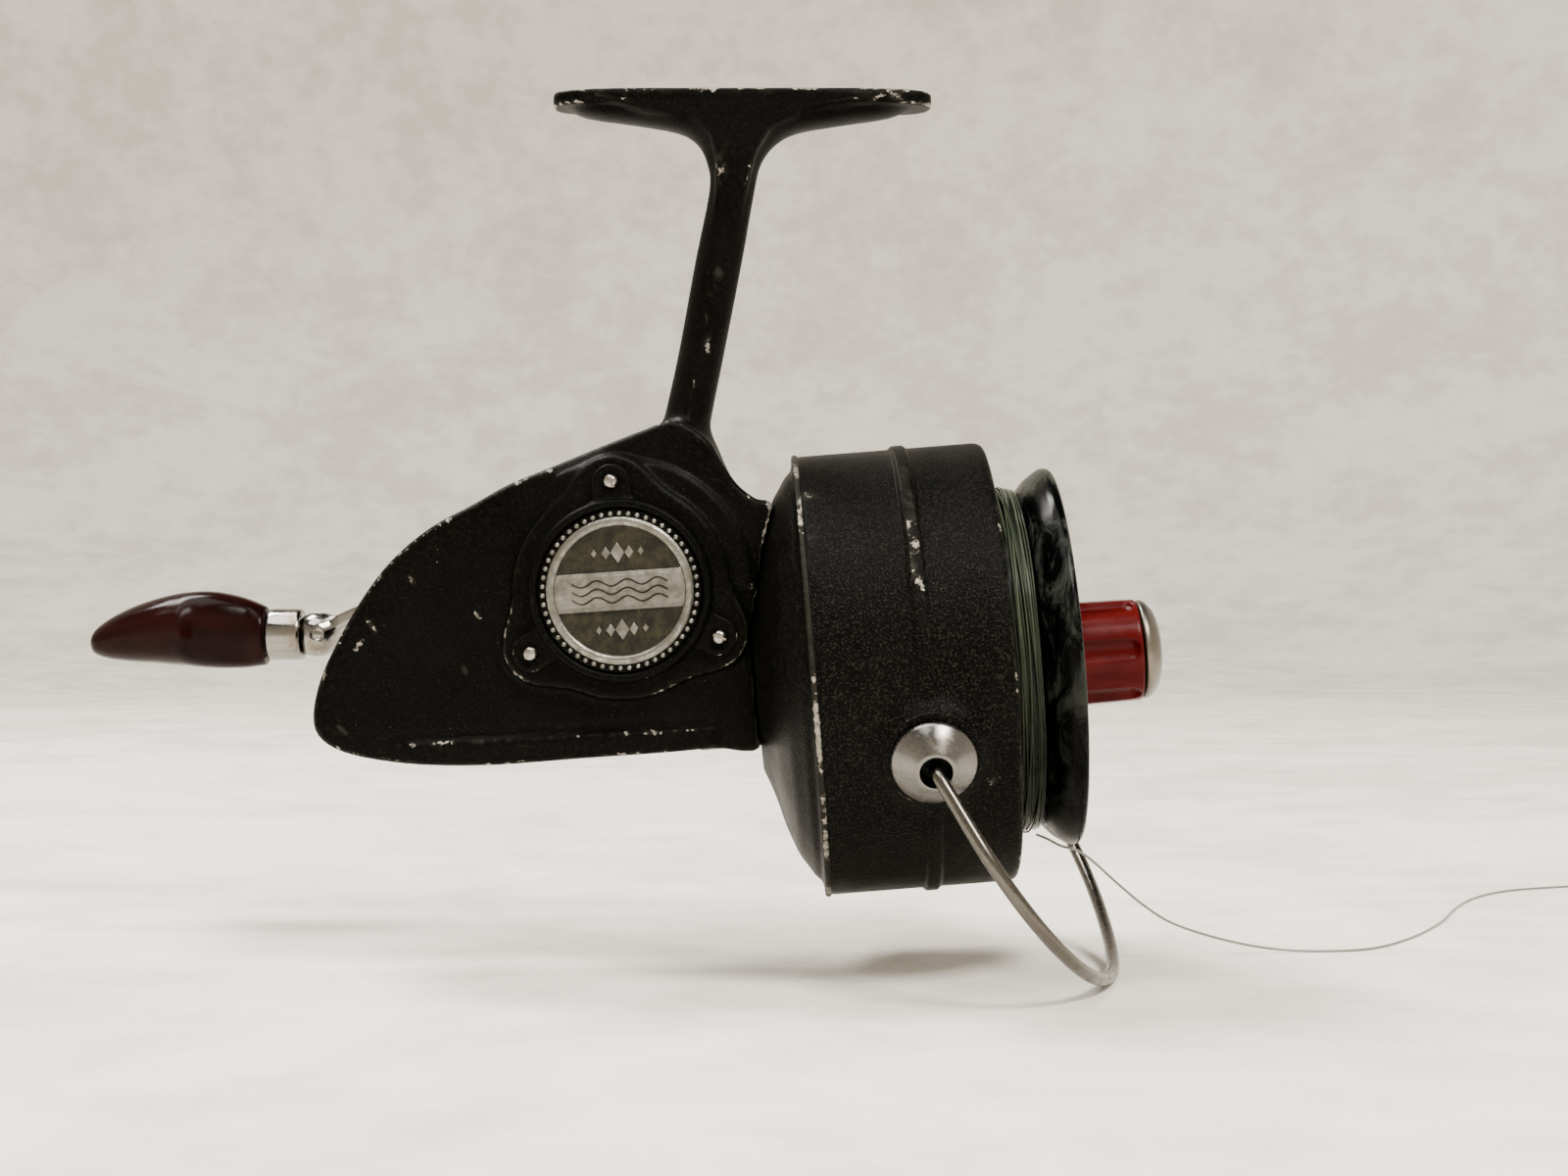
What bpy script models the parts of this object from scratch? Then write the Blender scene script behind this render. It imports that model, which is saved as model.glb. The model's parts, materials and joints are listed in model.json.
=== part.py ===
"""Fixed-spool fishing reel with line on its spool.

Units are metres, +Z is up.  The origin is the centre of the flat top of the reel foot.
+X runs forward, to the spool, and +Y runs to the side that carries the crank.
The spool shaft is tilted a few degrees, so everything turned about it hangs from the
empty shaft_frame, whose +X is the shaft and whose origin is at the rotor's rear rim.
The bail has an empty of its own, whose +X is the pivot line, outward on the -Y side,
and whose +Z runs along the opened loop.
"""
import math

import bmesh
import bpy
import numpy as np
from mathutils import Matrix, Vector

MM = 0.001

# Foot and leg
FOOT_LENGTH = 70.8
FOOT_WIDTH = 15.0
FOOT_THICKNESS = 2.8

# Shaft frame
SHAFT_TILT = 4.5
SHAFT_ORIGIN = (12.7, 0.0, -108.9)
SHAFT_RADIUS = 3.0
GAP = 0.3

# Body
BODY_HALF_WIDTH = 15.5
CRANK_X = -21.6
CRANK_Z = -93.0
COVER_RADIUS = 16.6
EAR_DISTANCE = 19.7
EAR_ANGLES = {"top": 95.0, "rear": 215.0, "front": 335.0}

# Anti-reverse lever
LEVER_X = -38.0
LEVER_Z = -110.0

# Rotor
ROTOR_RADIUS = 41.0
ROTOR_WALL = 2.1
ROTOR_LENGTH = 35.1
RIB_FROM = 18.2
RIB_TO = 20.5

# Bail
BAIL_S = 19.5
BAIL_ALPHA = 19.5
BAIL_BETA = 58.0
BAIL_WIRE_RADIUS = 1.22

# Spool
FLANGE_RADIUS = 35.35
LINE_RADIUS = 32.2

# Crank; the arm ends outside the sweep of the bail, so that it passes the turning rotor
ARM_END = (-94.3, 73.5, -102.8)
KNUCKLE_RADIUS = 5.1
WORM_STARTS = 10
WHEEL_TEETH = 33

# Loose line
LINE_THICKNESS = 0.5
FLOOR_Z = -163.6


def clear_scene():
    for item in list(bpy.data.objects):
        bpy.data.objects.remove(item, do_unlink=True)


def material(name, colour, roughness, metallic=0.0):
    mat = bpy.data.materials.get(name) or bpy.data.materials.new(name)
    mat.use_nodes = True
    shader = mat.node_tree.nodes["Principled BSDF"]
    shader.inputs["Base Color"].default_value = (colour[0], colour[1], colour[2], 1.0)
    shader.inputs["Roughness"].default_value = roughness
    shader.inputs["Metallic"].default_value = metallic
    mat.diffuse_color = (colour[0], colour[1], colour[2], 1.0)
    return mat


def empty(name, matrix, parent=None):
    item = bpy.data.objects.new(name, None)
    bpy.context.scene.collection.objects.link(item)
    item.parent = parent
    item.matrix_local = matrix
    return item


def mesh_object(name, bm, mat, parent=None, origin=(0.0, 0.0, 0.0)):
    """Links a bmesh built in millimetres, with its object's origin at `origin`."""
    bmesh.ops.translate(bm, vec=-Vector(origin), verts=bm.verts[:])
    bmesh.ops.scale(bm, vec=(MM, MM, MM), verts=bm.verts[:])
    bmesh.ops.recalc_face_normals(bm, faces=bm.faces[:])
    mesh = bpy.data.meshes.new(name)
    bm.to_mesh(mesh)
    bm.free()
    mesh.shade_smooth()
    mesh.set_sharp_from_angle(angle=math.radians(38))
    item = bpy.data.objects.new(name, mesh)
    bpy.context.scene.collection.objects.link(item)
    item.parent = parent
    item.location = Vector(origin) * MM
    if mat is not None:
        mesh.materials.append(mat)
    return item


def cutter(name, bm, parent=None):
    item = mesh_object(name, bm, None, parent)
    item.hide_render = True
    item.display_type = "WIRE"
    return item


def boolean(target, other, operation):
    mod = target.modifiers.new(other.name, "BOOLEAN")
    mod.solver = "EXACT"
    mod.operation = operation
    mod.object = other


def loft(rings, closed=False):
    """Skins rings of equal point counts; the end rings are capped unless closed."""
    bm = bmesh.new()
    made = [[bm.verts.new(point) for point in ring] for ring in rings]
    pairs = list(zip(made[:-1], made[1:]))
    if closed:
        pairs.append((made[-1], made[0]))
    count = len(made[0])
    for low, high in pairs:
        for i in range(count):
            j = (i + 1) % count
            bm.faces.new((low[i], low[j], high[j], high[i]))
    if not closed:
        bm.faces.new(list(reversed(made[0])))
        bm.faces.new(made[-1])
    return bm


def turned(profile, segments=24, centre=(0.0, 0.0, 0.0), axis="X"):
    """Turns a closed (along, radius) profile; a solid one has its ends on the axis."""
    solid = profile[0][1] == 0.0
    points = profile[1:-1] if solid else profile
    bm = bmesh.new()
    rings = []
    for along, radius in points:
        ring = []
        for i in range(segments):
            a = 2 * math.pi * i / segments
            ring.append(bm.verts.new((along, radius * math.cos(a), radius * math.sin(a))))
        rings.append(ring)
    pairs = list(zip(rings[:-1], rings[1:]))
    if not solid:
        pairs.append((rings[-1], rings[0]))
    for low, high in pairs:
        for i in range(segments):
            j = (i + 1) % segments
            bm.faces.new((low[i], low[j], high[j], high[i]))
    if solid:
        for ring, along in ((rings[0], profile[0][0]), (rings[-1], profile[-1][0])):
            if abs(ring[0].co.x - along) < 1e-6:
                bm.faces.new(ring)
                continue
            tip = bm.verts.new((along, 0.0, 0.0))
            for i in range(segments):
                bm.faces.new((ring[i], ring[(i + 1) % segments], tip))
    if axis == "Y":
        bmesh.ops.rotate(bm, matrix=Matrix.Rotation(math.radians(90), 3, "Z"), verts=bm.verts[:])
    if axis == "Z":
        bmesh.ops.rotate(bm, matrix=Matrix.Rotation(math.radians(-90), 3, "Y"), verts=bm.verts[:])
    bmesh.ops.translate(bm, vec=Vector(centre), verts=bm.verts[:])
    return bm


def rod(start, end, radius, segments=16, chamfer=0.0, centre=(0.0, 0.0, 0.0), axis="X"):
    if chamfer == 0.0:
        profile = [(start, 0.0), (start, radius), (end, radius), (end, 0.0)]
    else:
        profile = [(start, 0.0), (start, radius - chamfer), (start + chamfer, radius),
                   (end - chamfer, radius), (end, radius - chamfer), (end, 0.0)]
    return turned(profile, segments, centre, axis)


def ring(start, end, inner, outer, segments=24, centre=(0.0, 0.0, 0.0), axis="X"):
    profile = [(start, inner), (start, outer), (end, outer), (end, inner)]
    return turned(profile, segments, centre, axis)


def shifted_outline(outline, distance):
    """Moves each point of a counter-clockwise outline inward by about `distance`."""
    result = []
    count = len(outline)
    for i in range(count):
        before = Vector(outline[i - 1])
        here = Vector(outline[i])
        after = Vector(outline[(i + 1) % count])
        first = (here - before).normalized()
        second = (after - here).normalized()
        normal = Vector((-(first.y + second.y), first.x + second.x))
        normal.normalize()
        scale = max(0.5, normal.dot(Vector((-first.y, first.x))))
        result.append(here + normal * (distance / scale))
    return result


def smooth_open(points, per_span):
    """Catmull-Rom curve through a list of points."""
    result = []
    last = len(points) - 1
    for i in range(last):
        a = np.array(points[max(i - 1, 0)], dtype=float)
        b = np.array(points[i], dtype=float)
        c = np.array(points[i + 1], dtype=float)
        d = np.array(points[min(i + 2, last)], dtype=float)
        for j in range(per_span):
            result.append(catmull(a, b, c, d, j / per_span))
    result.append(np.array(points[last], dtype=float))
    return result


def catmull(a, b, c, d, t):
    return 0.5 * (2 * b + (c - a) * t + (2 * a - 5 * b + 4 * c - d) * t ** 2
                  + (3 * b - a - 3 * c + d) * t ** 3)


def tube(path, radius, sides=10):
    """Sweeps a circle along a path of points."""
    points = [Vector(p) for p in path]
    rings = []
    up = None
    for i, point in enumerate(points):
        ahead = points[min(i + 1, len(points) - 1)]
        behind = points[max(i - 1, 0)]
        along = (ahead - behind).normalized()
        if up is None:
            up = along.orthogonal().normalized()
        up = (up - along * up.dot(along)).normalized()
        side = along.cross(up)
        circle = []
        for j in range(sides):
            a = 2 * math.pi * j / sides
            circle.append(point + up * (radius * math.cos(a)) + side * (radius * math.sin(a)))
        rings.append(circle)
    return loft(rings)


def plate(outline, y_low, y_high, edge=0.0):
    """Slab over an XZ outline between two Y planes, with its rims rounded by `edge`."""
    steps = [(y_low, edge), (y_low + edge, 0.0), (y_high - edge, 0.0), (y_high, edge)]
    if edge == 0.0:
        steps = [(y_low, 0.0), (y_high, 0.0)]
    rings = []
    for y, inset in steps:
        moved = shifted_outline(outline, inset) if inset else [Vector(p) for p in outline]
        rings.append([(p.x, y, p.y) for p in moved])
    return loft(rings)


def ear_centre(name):
    a = math.radians(EAR_ANGLES[name])
    return CRANK_X + EAR_DISTANCE * math.cos(a), CRANK_Z + EAR_DISTANCE * math.sin(a)


def lobed_outline(radius, ear_radius, ear_distance, count=48):
    """Circle with three ears: the outer envelope of a disc and three small discs."""
    result = []
    for i in range(count):
        a = 2 * math.pi * i / count
        reach = radius
        for angle in EAR_ANGLES.values():
            gap = (a - math.radians(angle) + math.pi) % (2 * math.pi) - math.pi
            across = abs(math.sin(gap) * ear_distance)
            if math.cos(gap) > 0 and across < ear_radius:
                along = math.cos(gap) * ear_distance
                reach = max(reach, along + math.sqrt(ear_radius ** 2 - across ** 2))
        result.append((CRANK_X + reach * math.cos(a), CRANK_Z + reach * math.sin(a)))
    return result


# ---------------------------------------------------------------- housing

def body_outline():
    """Counter-clockwise side view of the body, seen from -Y with +X to the right."""
    lower = [(3.9, -121.2), (-5.0, -121.6), (-13.6, -122.4), (-27.9, -123.4), (-45.8, -124.7),
             (-60.0, -124.5), (-70.5, -122.9)]
    rear = [(-76.0, -120.3), (-77.8, -116.4), (-76.6, -109.5), (-73.4, -102.3), (-69.0, -94.6),
            (-63.6, -87.5), (-56.5, -81.5)]
    upper = [(-48.6, -77.2), (-42.2, -73.6), (-35.0, -70.7), (-24.3, -66.3), (-18.1, -63.9),
             (-12.0, -62.0), (-6.2, -65.3), (-3.6, -69.4), (-0.8, -73.5)]
    front = [(2.6, -76.2), (5.6, -77.2), (5.4, -83.6), (4.0, -92.0), (3.2, -108.0)]
    return [lower[0]] + front[::-1] + upper[::-1] + rear[::-1] + lower[:0:-1]


def leg_rings():
    """Rounded-diamond sections of the leg, from inside the body up to the foot."""
    stations = [
        (-80.0, -20.0, -2.0, 9.0), (-70.0, -16.8, -4.2, 8.4), (-63.0, -15.2, -5.9, 7.4),
        (-59.0, -14.3, -5.5, 6.6), (-48.0, -11.9, -3.3, 5.6), (-31.0, -8.8, 0.0, 5.0),
        (-18.0, -6.2, 2.3, 4.8), (-13.0, -6.6, 3.5, 5.0), (-9.4, -8.4, 6.2, 5.4),
        (-7.2, -12.0, 10.2, 5.6), (-5.7, -20.0, 18.5, 5.4), (-4.3, -29.5, 27.5, 4.6),
        (-2.2, -32.5, 31.5, 3.2),
    ]
    rings = []
    for z, left, right, half in stations:
        centre = 0.5 * (left + right)
        reach = 0.5 * (right - left)
        section = []
        for i in range(16):
            a = 2 * math.pi * i / 16
            power = 0.85
            x = centre + reach * math.copysign(abs(math.cos(a)) ** power, math.cos(a))
            y = half * math.copysign(abs(math.sin(a)) ** power, math.sin(a))
            section.append((x, y, z))
        rings.append(section)
    return rings


def foot_rings():
    """Boat-shaped foot plate, from its flat top down to its slightly smaller underside."""
    rings = []
    for z, shrink in ((0.0, 0.4), (-0.4, 0.0), (-FOOT_THICKNESS + 0.6, 0.0), (-FOOT_THICKNESS, 0.7)):
        section = []
        for i in range(36):
            a = 2 * math.pi * i / 36
            reach_x = 0.5 * FOOT_LENGTH - shrink
            reach_y = 0.5 * FOOT_WIDTH - shrink
            x = reach_x * math.copysign(abs(math.cos(a)) ** 0.45, math.cos(a))
            y = reach_y * math.copysign(abs(math.sin(a)) ** 0.62, math.sin(a))
            section.append((x, y, z))
        rings.append(section)
    return rings


def housing(shaft_frame, paint):
    outline = body_outline()
    shell = plate(outline, -BODY_HALF_WIDTH, BODY_HALF_WIDTH, 2.6)
    item = mesh_object("housing", shell, paint)

    def join(name, bm, parent=None):
        boolean(item, cutter(name, bm, parent), "UNION")

    def cut(name, bm, parent=None):
        boolean(item, cutter(name, bm, parent), "DIFFERENCE")

    dish = [(-10.5, 0.0), (-10.5, 17.4), (-8.6, 22.2), (-7.1, 28.2), (-5.0, 33.7),
            (-3.5, 36.0), (-2.4, 38.0), (6.0, 40.0), (6.0, 0.0)]
    cut("rotor_clearance_form", turned(dish, 56), shaft_frame)
    join("leg_form", loft(leg_rings()))
    join("foot_form", loft(foot_rings()))
    mound = lobed_outline(19.6, 7.0, 17.6, 42)
    mound_low = -BODY_HALF_WIDTH - 2.2
    join("mound_form", plate(mound, mound_low, -BODY_HALF_WIDTH + 4.0, 0.9))
    boss = turned([(BODY_HALF_WIDTH - 4.0, 0.0), (BODY_HALF_WIDTH - 4.0, 11.5),
                   (BODY_HALF_WIDTH + 1.0, 11.0), (BODY_HALF_WIDTH + 6.4, 9.2),
                   (BODY_HALF_WIDTH + 7.0, 8.6), (BODY_HALF_WIDTH + 7.0, 0.0)],
                  32, (CRANK_X, 0.0, CRANK_Z), "Y")
    join("crank_boss_form", boss)
    join("neck_form", rod(-22.0, -4.7, 12.4, 36), shaft_frame)

    pocket = [(-14.5, -118.4), (-14.5, -76.0), (-24.0, -71.8), (-36.0, -76.0), (-48.0, -81.5),
              (-57.0, -88.0), (-64.0, -97.0), (-66.5, -104.0), (-66.5, -119.0), (-45.0, -121.2)]
    cut("pocket_form", plate(pocket, -12.6, 12.6))
    cut("window_form", rod(-30.0, 8.6, 15.2, 36, 0.0, (CRANK_X, 0.0, CRANK_Z), "Y"))
    cut("crank_bore_form", rod(5.0, 40.0, 6.0, 28, 0.0, (CRANK_X, 0.0, CRANK_Z), "Y"))
    cut("bearing_seat_form", rod(-11.5, 0.0, 10.0, 32), shaft_frame)
    cut("pinion_bore_form", rod(-34.0, -9.0, 5.2, 24), shaft_frame)
    for name in EAR_ANGLES:
        x, z = ear_centre(name)
        cut("screw_hole_form_" + name, rod(-30.0, -13.5, 1.15, 12, 0.0, (x, 0.0, z), "Y"))
    cut("lever_bore_form", rod(5.0, 40.0, 1.8, 14, 0.0, (LEVER_X, 0.0, LEVER_Z), "Y"))


def cover_parts(paint, silver, brass):
    face = -BODY_HALF_WIDTH - 2.2
    outline = lobed_outline(COVER_RADIUS, 3.2, EAR_DISTANCE)
    cover = mesh_object("side_cover", plate(outline, face - 1.7, face - GAP, 0.35), paint)
    rim = turned([(face - 3.0, 14.9), (face - 3.0, 16.2), (face - 1.2, 16.4), (face - 1.2, 14.9)],
                 40, (CRANK_X, 0.0, CRANK_Z), "Y")
    boolean(cover, cutter("cover_rim_form", rim), "UNION")
    seat = turned([(face - 1.0, 0.0), (face - 1.0, 14.8), (face + 4.6, 14.8), (face + 4.6, 0.0)],
                  40, (CRANK_X, 0.0, CRANK_Z), "Y")
    boolean(cover, cutter("cover_plug_form", seat), "UNION")
    for name in EAR_ANGLES:
        x, z = ear_centre(name)
        hole = rod(-30.0, -10.0, 1.15, 12, 0.0, (x, 0.0, z), "Y")
        boolean(cover, cutter("cover_hole_form_" + name, hole), "DIFFERENCE")
        shank = [(face - 3.1, 0.0), (face - 3.1, 0.8), (face - 2.7, 1.35), (face - 2.0, 1.45),
                 (face - 2.0, 0.85), (-14.2, 0.85), (-14.2, 0.0)]
        screw = turned(shank, 14, (x, 0.0, z), "Y")
        mesh_object("cover_screw_" + name, screw, silver, None, (x, face, z))
    badge = turned([(face - 3.2, 0.0), (face - 3.2, 13.4), (face - 2.9, 14.4), (face - 2.0, 14.6),
                    (face - 2.0, 0.0)], 40, (CRANK_X, 0.0, CRANK_Z), "Y")
    mesh_object("badge", badge, silver, None, (CRANK_X, face, CRANK_Z))
    far = ring(BODY_HALF_WIDTH - 2.2, BODY_HALF_WIDTH + 6.8, 3.9, 5.7, 24,
               (CRANK_X, 0.0, CRANK_Z), "Y")
    mesh_object("crank_bushing", far, brass)


def anti_reverse_parts(silver, steel):
    x, z = LEVER_X, LEVER_Z
    pivot = (x, 0.0, z)
    outside = BODY_HALF_WIDTH + 0.4
    lever = rod(5.0, outside + 2.6, 1.5, 14, 0.2, (x, 0.0, z), "Y")
    item = mesh_object("anti_reverse_lever", lever, silver, None, pivot)
    arm = [(x - 3.0, z + 2.4), (x - 3.6, z - 0.4), (x - 2.2, z - 3.0), (x + 0.4, z - 3.6),
           (x + 3.4, z - 2.6), (x + 9.0, z - 2.0), (x + 13.4, z - 1.8), (x + 14.4, z + 0.2),
           (x + 13.2, z + 2.0), (x + 8.6, z + 1.8), (x + 3.2, z + 2.6), (x + 0.2, z + 3.6)]
    form = plate(arm, outside, outside + 2.0, 0.4)
    boolean(item, cutter("lever_arm_form", form), "UNION")
    pawl = [(x - 2.6, z - 1.8), (x - 0.2, z - 3.2), (x + 2.8, z - 1.4), (x + 8.9, z + 6.6),
            (x + 8.6, z + 8.2), (x + 7.2, z + 8.4), (x + 0.6, z + 3.4), (x - 2.8, z + 1.6)]
    paw = mesh_object("anti_reverse_pawl", plate(pawl, 5.4, 7.2, 0.2), steel, None, pivot)
    hole = rod(0.0, 20.0, 1.85, 14, 0.0, (x, 0.0, z), "Y")
    boolean(paw, cutter("pawl_hole_form", hole), "DIFFERENCE")


# ---------------------------------------------------------------- crank and gears

def toothed_ring(teeth, root, tip, y_low, y_high, bore, lean):
    """Gear ring about Y with straight-flanked teeth that lean by `lean` degrees."""
    rings = []
    for y, shift in ((y_low, -0.5 * lean), (y_high, 0.5 * lean)):
        outline = []
        for i in range(teeth):
            for part, radius in ((0.0, root), (0.3, tip), (0.7, tip)):
                a = 2 * math.pi * (i + part) / teeth + math.radians(shift)
                outline.append((CRANK_X + radius * math.cos(a), y, CRANK_Z + radius * math.sin(a)))
        rings.append(outline)
    for y in (y_high, y_low):
        hole = []
        for i in range(teeth * 3):
            a = 2 * math.pi * i / (teeth * 3)
            hole.append((CRANK_X + bore * math.cos(a), y, CRANK_Z + bore * math.sin(a)))
        rings.append(hole)
    return loft(rings, closed=True)


def ratchet_mesh(teeth, root, tip, y_low, y_high, bore):
    """Saw-toothed ring about the crank axis."""
    rings = []
    for y, hole in ((y_low, False), (y_high, False), (y_high, True), (y_low, True)):
        outline = []
        for i in range(teeth):
            for part, radius in ((0.0, tip), (0.12, root)):
                a = 2 * math.pi * (i + part) / teeth
                reach = bore if hole else radius
                outline.append((CRANK_X + reach * math.cos(a), y, CRANK_Z + reach * math.sin(a)))
        rings.append(outline)
    return loft(rings, closed=True)


def crank_parts(brass, steel, chrome):
    axis_point = (CRANK_X, 0.0, CRANK_Z)
    wheel = toothed_ring(WHEEL_TEETH, 12.2, 13.55, -3.4, 4.6, 3.9, 8.0)
    mesh_object("gear_wheel", wheel, brass, None, axis_point)
    pin_x = CRANK_X - 7.0
    disc = ring(-5.2, -3.7, 3.9, 9.6, 28, axis_point, "Y")
    crank_disc = mesh_object("eccentric_disc", disc, brass, None, axis_point)
    stud = rod(-6.4, -4.6, 1.5, 14, 0.2, (pin_x, 0.0, CRANK_Z - 0.5), "Y")
    boolean(crank_disc, cutter("stud_form", stud), "UNION")
    shaft = [(-5.2, 0.0), (-5.2, 3.2), (-4.9, 3.5), (32.0, 3.5), (32.0, 2.4), (36.6, 2.4),
             (36.6, 0.0)]
    mesh_object("crank_shaft", turned(shaft, 20, axis_point, "Y"), steel, None, axis_point)
    saw = ratchet_mesh(16, 9.2, 10.9, 5.2, 7.2, 3.9)
    mesh_object("ratchet_wheel", saw, steel, None, axis_point)
    arm = arm_mesh()
    arm_item = mesh_object("crank_arm", arm, chrome, None, axis_point)
    hub = turned([(25.6, 0.0), (25.6, 7.6), (26.4, 8.4), (31.0, 8.4), (31.8, 7.6), (31.8, 0.0)],
                 24, axis_point, "Y")
    boolean(arm_item, cutter("arm_hub_form", hub), "UNION")
    end = ARM_END
    ball = []
    for i in range(9):
        a = math.pi * i / 8
        ball.append((-KNUCKLE_RADIUS * math.cos(a), KNUCKLE_RADIUS * math.sin(a)))
    ball[0] = (-KNUCKLE_RADIUS, 0.0)
    ball[-1] = (KNUCKLE_RADIUS, 0.0)
    knuckle = turned(ball, 20, end, "Y")
    boolean(arm_item, cutter("arm_knuckle_form", knuckle), "UNION")
    tongue_room = [(end[0] - 9.0, end[2] - 2.2), (end[0] + 3.1, end[2] - 2.2),
                   (end[0] + 3.1, end[2] + 2.2), (end[0] - 9.0, end[2] + 2.2)]
    room = plate(tongue_room, end[1] - 3.1, end[1] + 9.0)
    boolean(arm_item, cutter("arm_slot_form", room), "DIFFERENCE")
    hole = rod(end[2] - 9.0, end[2] + 9.0, 1.25, 14, 0.0, (end[0], end[1], 0.0), "Z")
    boolean(arm_item, cutter("arm_pin_hole_form", hole), "DIFFERENCE")
    bore = rod(20.0, 40.0, 3.8, 24, 0.0, axis_point, "Y")
    boolean(arm_item, cutter("arm_bore_form", bore), "DIFFERENCE")
    nut = [(32.1, 2.7), (32.1, 6.6), (33.0, 7.0), (36.0, 6.6), (37.6, 4.6), (37.9, 2.7)]
    mesh_object("crank_nut", turned(nut, 24, axis_point, "Y"), chrome, None, axis_point)


def arm_mesh():
    """Flat crank arm that steps outward between its hub and its knuckle."""
    route = [(3.0, 28.7, 0.0), (12.0, 29.6, 0.2), (22.0, 35.0, 0.2), (34.0, 46.5, -0.4),
             (46.0, 58.9, -1.6), (56.0, 66.0, -3.2), (64.0, 70.6, -5.6), (69.3, 73.2, -8.0)]
    path = [(CRANK_X - back, y, CRANK_Z + rise) for back, y, rise in route]
    rings = []
    points = smooth_open(path, 2)
    for i, point in enumerate(points):
        ahead = points[min(i + 1, len(points) - 1)]
        behind = points[max(i - 1, 0)]
        along = Vector(ahead - behind).normalized()
        tall = Vector((0, 0, 1))
        tall = (tall - along * tall.dot(along)).normalized()
        side = along.cross(tall)
        share = i / (len(points) - 1)
        high = 5.2 - 3.5 * min(1.0, share / 0.6)
        wide = 1.9
        section = []
        for j in range(10):
            a = 2 * math.pi * (j + 0.5) / 10
            u = high * math.copysign(abs(math.cos(a)) ** 0.6, math.cos(a))
            v = wide * math.copysign(abs(math.sin(a)) ** 0.6, math.sin(a))
            section.append(Vector(point) + tall * u + side * v)
        rings.append(section)
    return loft(rings)


def knob_parts(chrome, steel, burgundy):
    end = ARM_END
    pin = rod(end[2] - 4.7, end[2] + 4.7, 0.95, 14, 0.15, (end[0], end[1], 0.0), "Z")
    mesh_object("fold_pin", pin, steel, None, end)
    tongue = rod(-1.9, 1.9, 2.7, 20, 0.0, end, "Z")
    ferrule = mesh_object("knob_ferrule", tongue, chrome, None, end)
    stem = plate([(end[0] - 7.0, end[2] - 1.9), (end[0] - 1.0, end[2] - 1.9),
                  (end[0] - 1.0, end[2] + 1.9), (end[0] - 7.0, end[2] + 1.9)],
                 end[1] - 2.6, end[1] + 2.6)
    boolean(ferrule, cutter("ferrule_stem_form", stem), "UNION")
    cup = turned([(-10.6, 0.0), (-10.6, 5.2), (-10.2, 5.75), (-3.6, 5.75), (-3.1, 5.4),
                  (-3.1, 4.5), (-3.8, 3.9), (-4.5, 3.05), (-5.05, 2.0), (-5.45, 0.0)], 32, end)
    boolean(ferrule, cutter("ferrule_cup_form", cup), "UNION")
    spindle = rod(-40.0, -9.0, 1.8, 16, 0.3, end)
    boolean(ferrule, cutter("ferrule_spindle_form", spindle), "UNION")
    hole = rod(end[2] - 9.0, end[2] + 9.0, 1.25, 14, 0.0, (end[0], end[1], 0.0), "Z")
    boolean(ferrule, cutter("ferrule_hole_form", hole), "DIFFERENCE")
    stations = [(-10.9, 4.9, 5.9), (-11.7, 5.9, 6.6), (-16.5, 7.2, 7.8), (-22.5, 8.5, 8.4),
                (-28.2, 8.9, 8.1), (-33.4, 8.6, 7.4), (-39.6, 7.3, 6.2), (-44.9, 5.8, 4.6),
                (-48.0, 4.2, 3.0), (-49.2, 1.9, 1.4)]
    rings = []
    for x, half_y, half_z in stations:
        share = (-10.9 - x) / 38.3
        drop = -0.2 + 2.2 * math.sin(math.pi * min(1.0, share)) - 1.5 * share
        section = []
        for i in range(24):
            a = 2 * math.pi * i / 24
            section.append((end[0] + x, end[1] + half_y * math.cos(a),
                            end[2] + drop + half_z * math.sin(a)))
        rings.append(section)
    knob = mesh_object("handle_knob", loft(rings), burgundy, None, end)
    bore = rod(-40.6, -5.0, 2.1, 16, 0.0, end)
    boolean(knob, cutter("knob_bore_form", bore), "DIFFERENCE")


# ---------------------------------------------------------------- rotor and bail

def pinion_parts(frame, brass, steel):
    rings = []
    for k in range(5):
        x = -38.4 + 15.0 * k / 4
        section = []
        for i in range(WORM_STARTS):
            for part, radius in ((0.0, 3.95), (0.3, 3.95), (0.45, 4.55), (0.85, 4.55)):
                a = 2 * math.pi * ((i + part) / WORM_STARTS + 0.2 * k / 4)
                section.append((x, radius * math.cos(a), radius * math.sin(a)))
        rings.append(section)
    item = mesh_object("pinion", loft(rings), brass, frame)
    boolean(item, cutter("pinion_tube_form", rod(-24.0, 12.6, 4.4, 28), frame), "UNION")
    boolean(item, cutter("pinion_bore_cut", rod(-50.0, 20.0, 3.3, 24), frame), "DIFFERENCE")
    bearing = [(-11.1, 4.7), (-11.1, 9.2), (-10.6, 9.7), (-6.6, 9.7), (-6.1, 9.2), (-6.1, 4.7)]
    mesh_object("front_bearing", turned(bearing, 24), steel, frame)
    mesh_object("bearing_retainer", ring(-5.8, -4.9, 5.6, 9.7, 24), steel, frame)
    hexagon = [[(x, 7.2 * math.cos(math.radians(60 * i)), 7.2 * math.sin(math.radians(60 * i)))
                for i in range(6)] for x in (8.4, 11.6)]
    nut_item = mesh_object("rotor_nut", loft(hexagon), steel, frame)
    boolean(nut_item, cutter("nut_bore_cut", rod(0.0, 20.0, 4.7, 24), frame), "DIFFERENCE")


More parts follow.
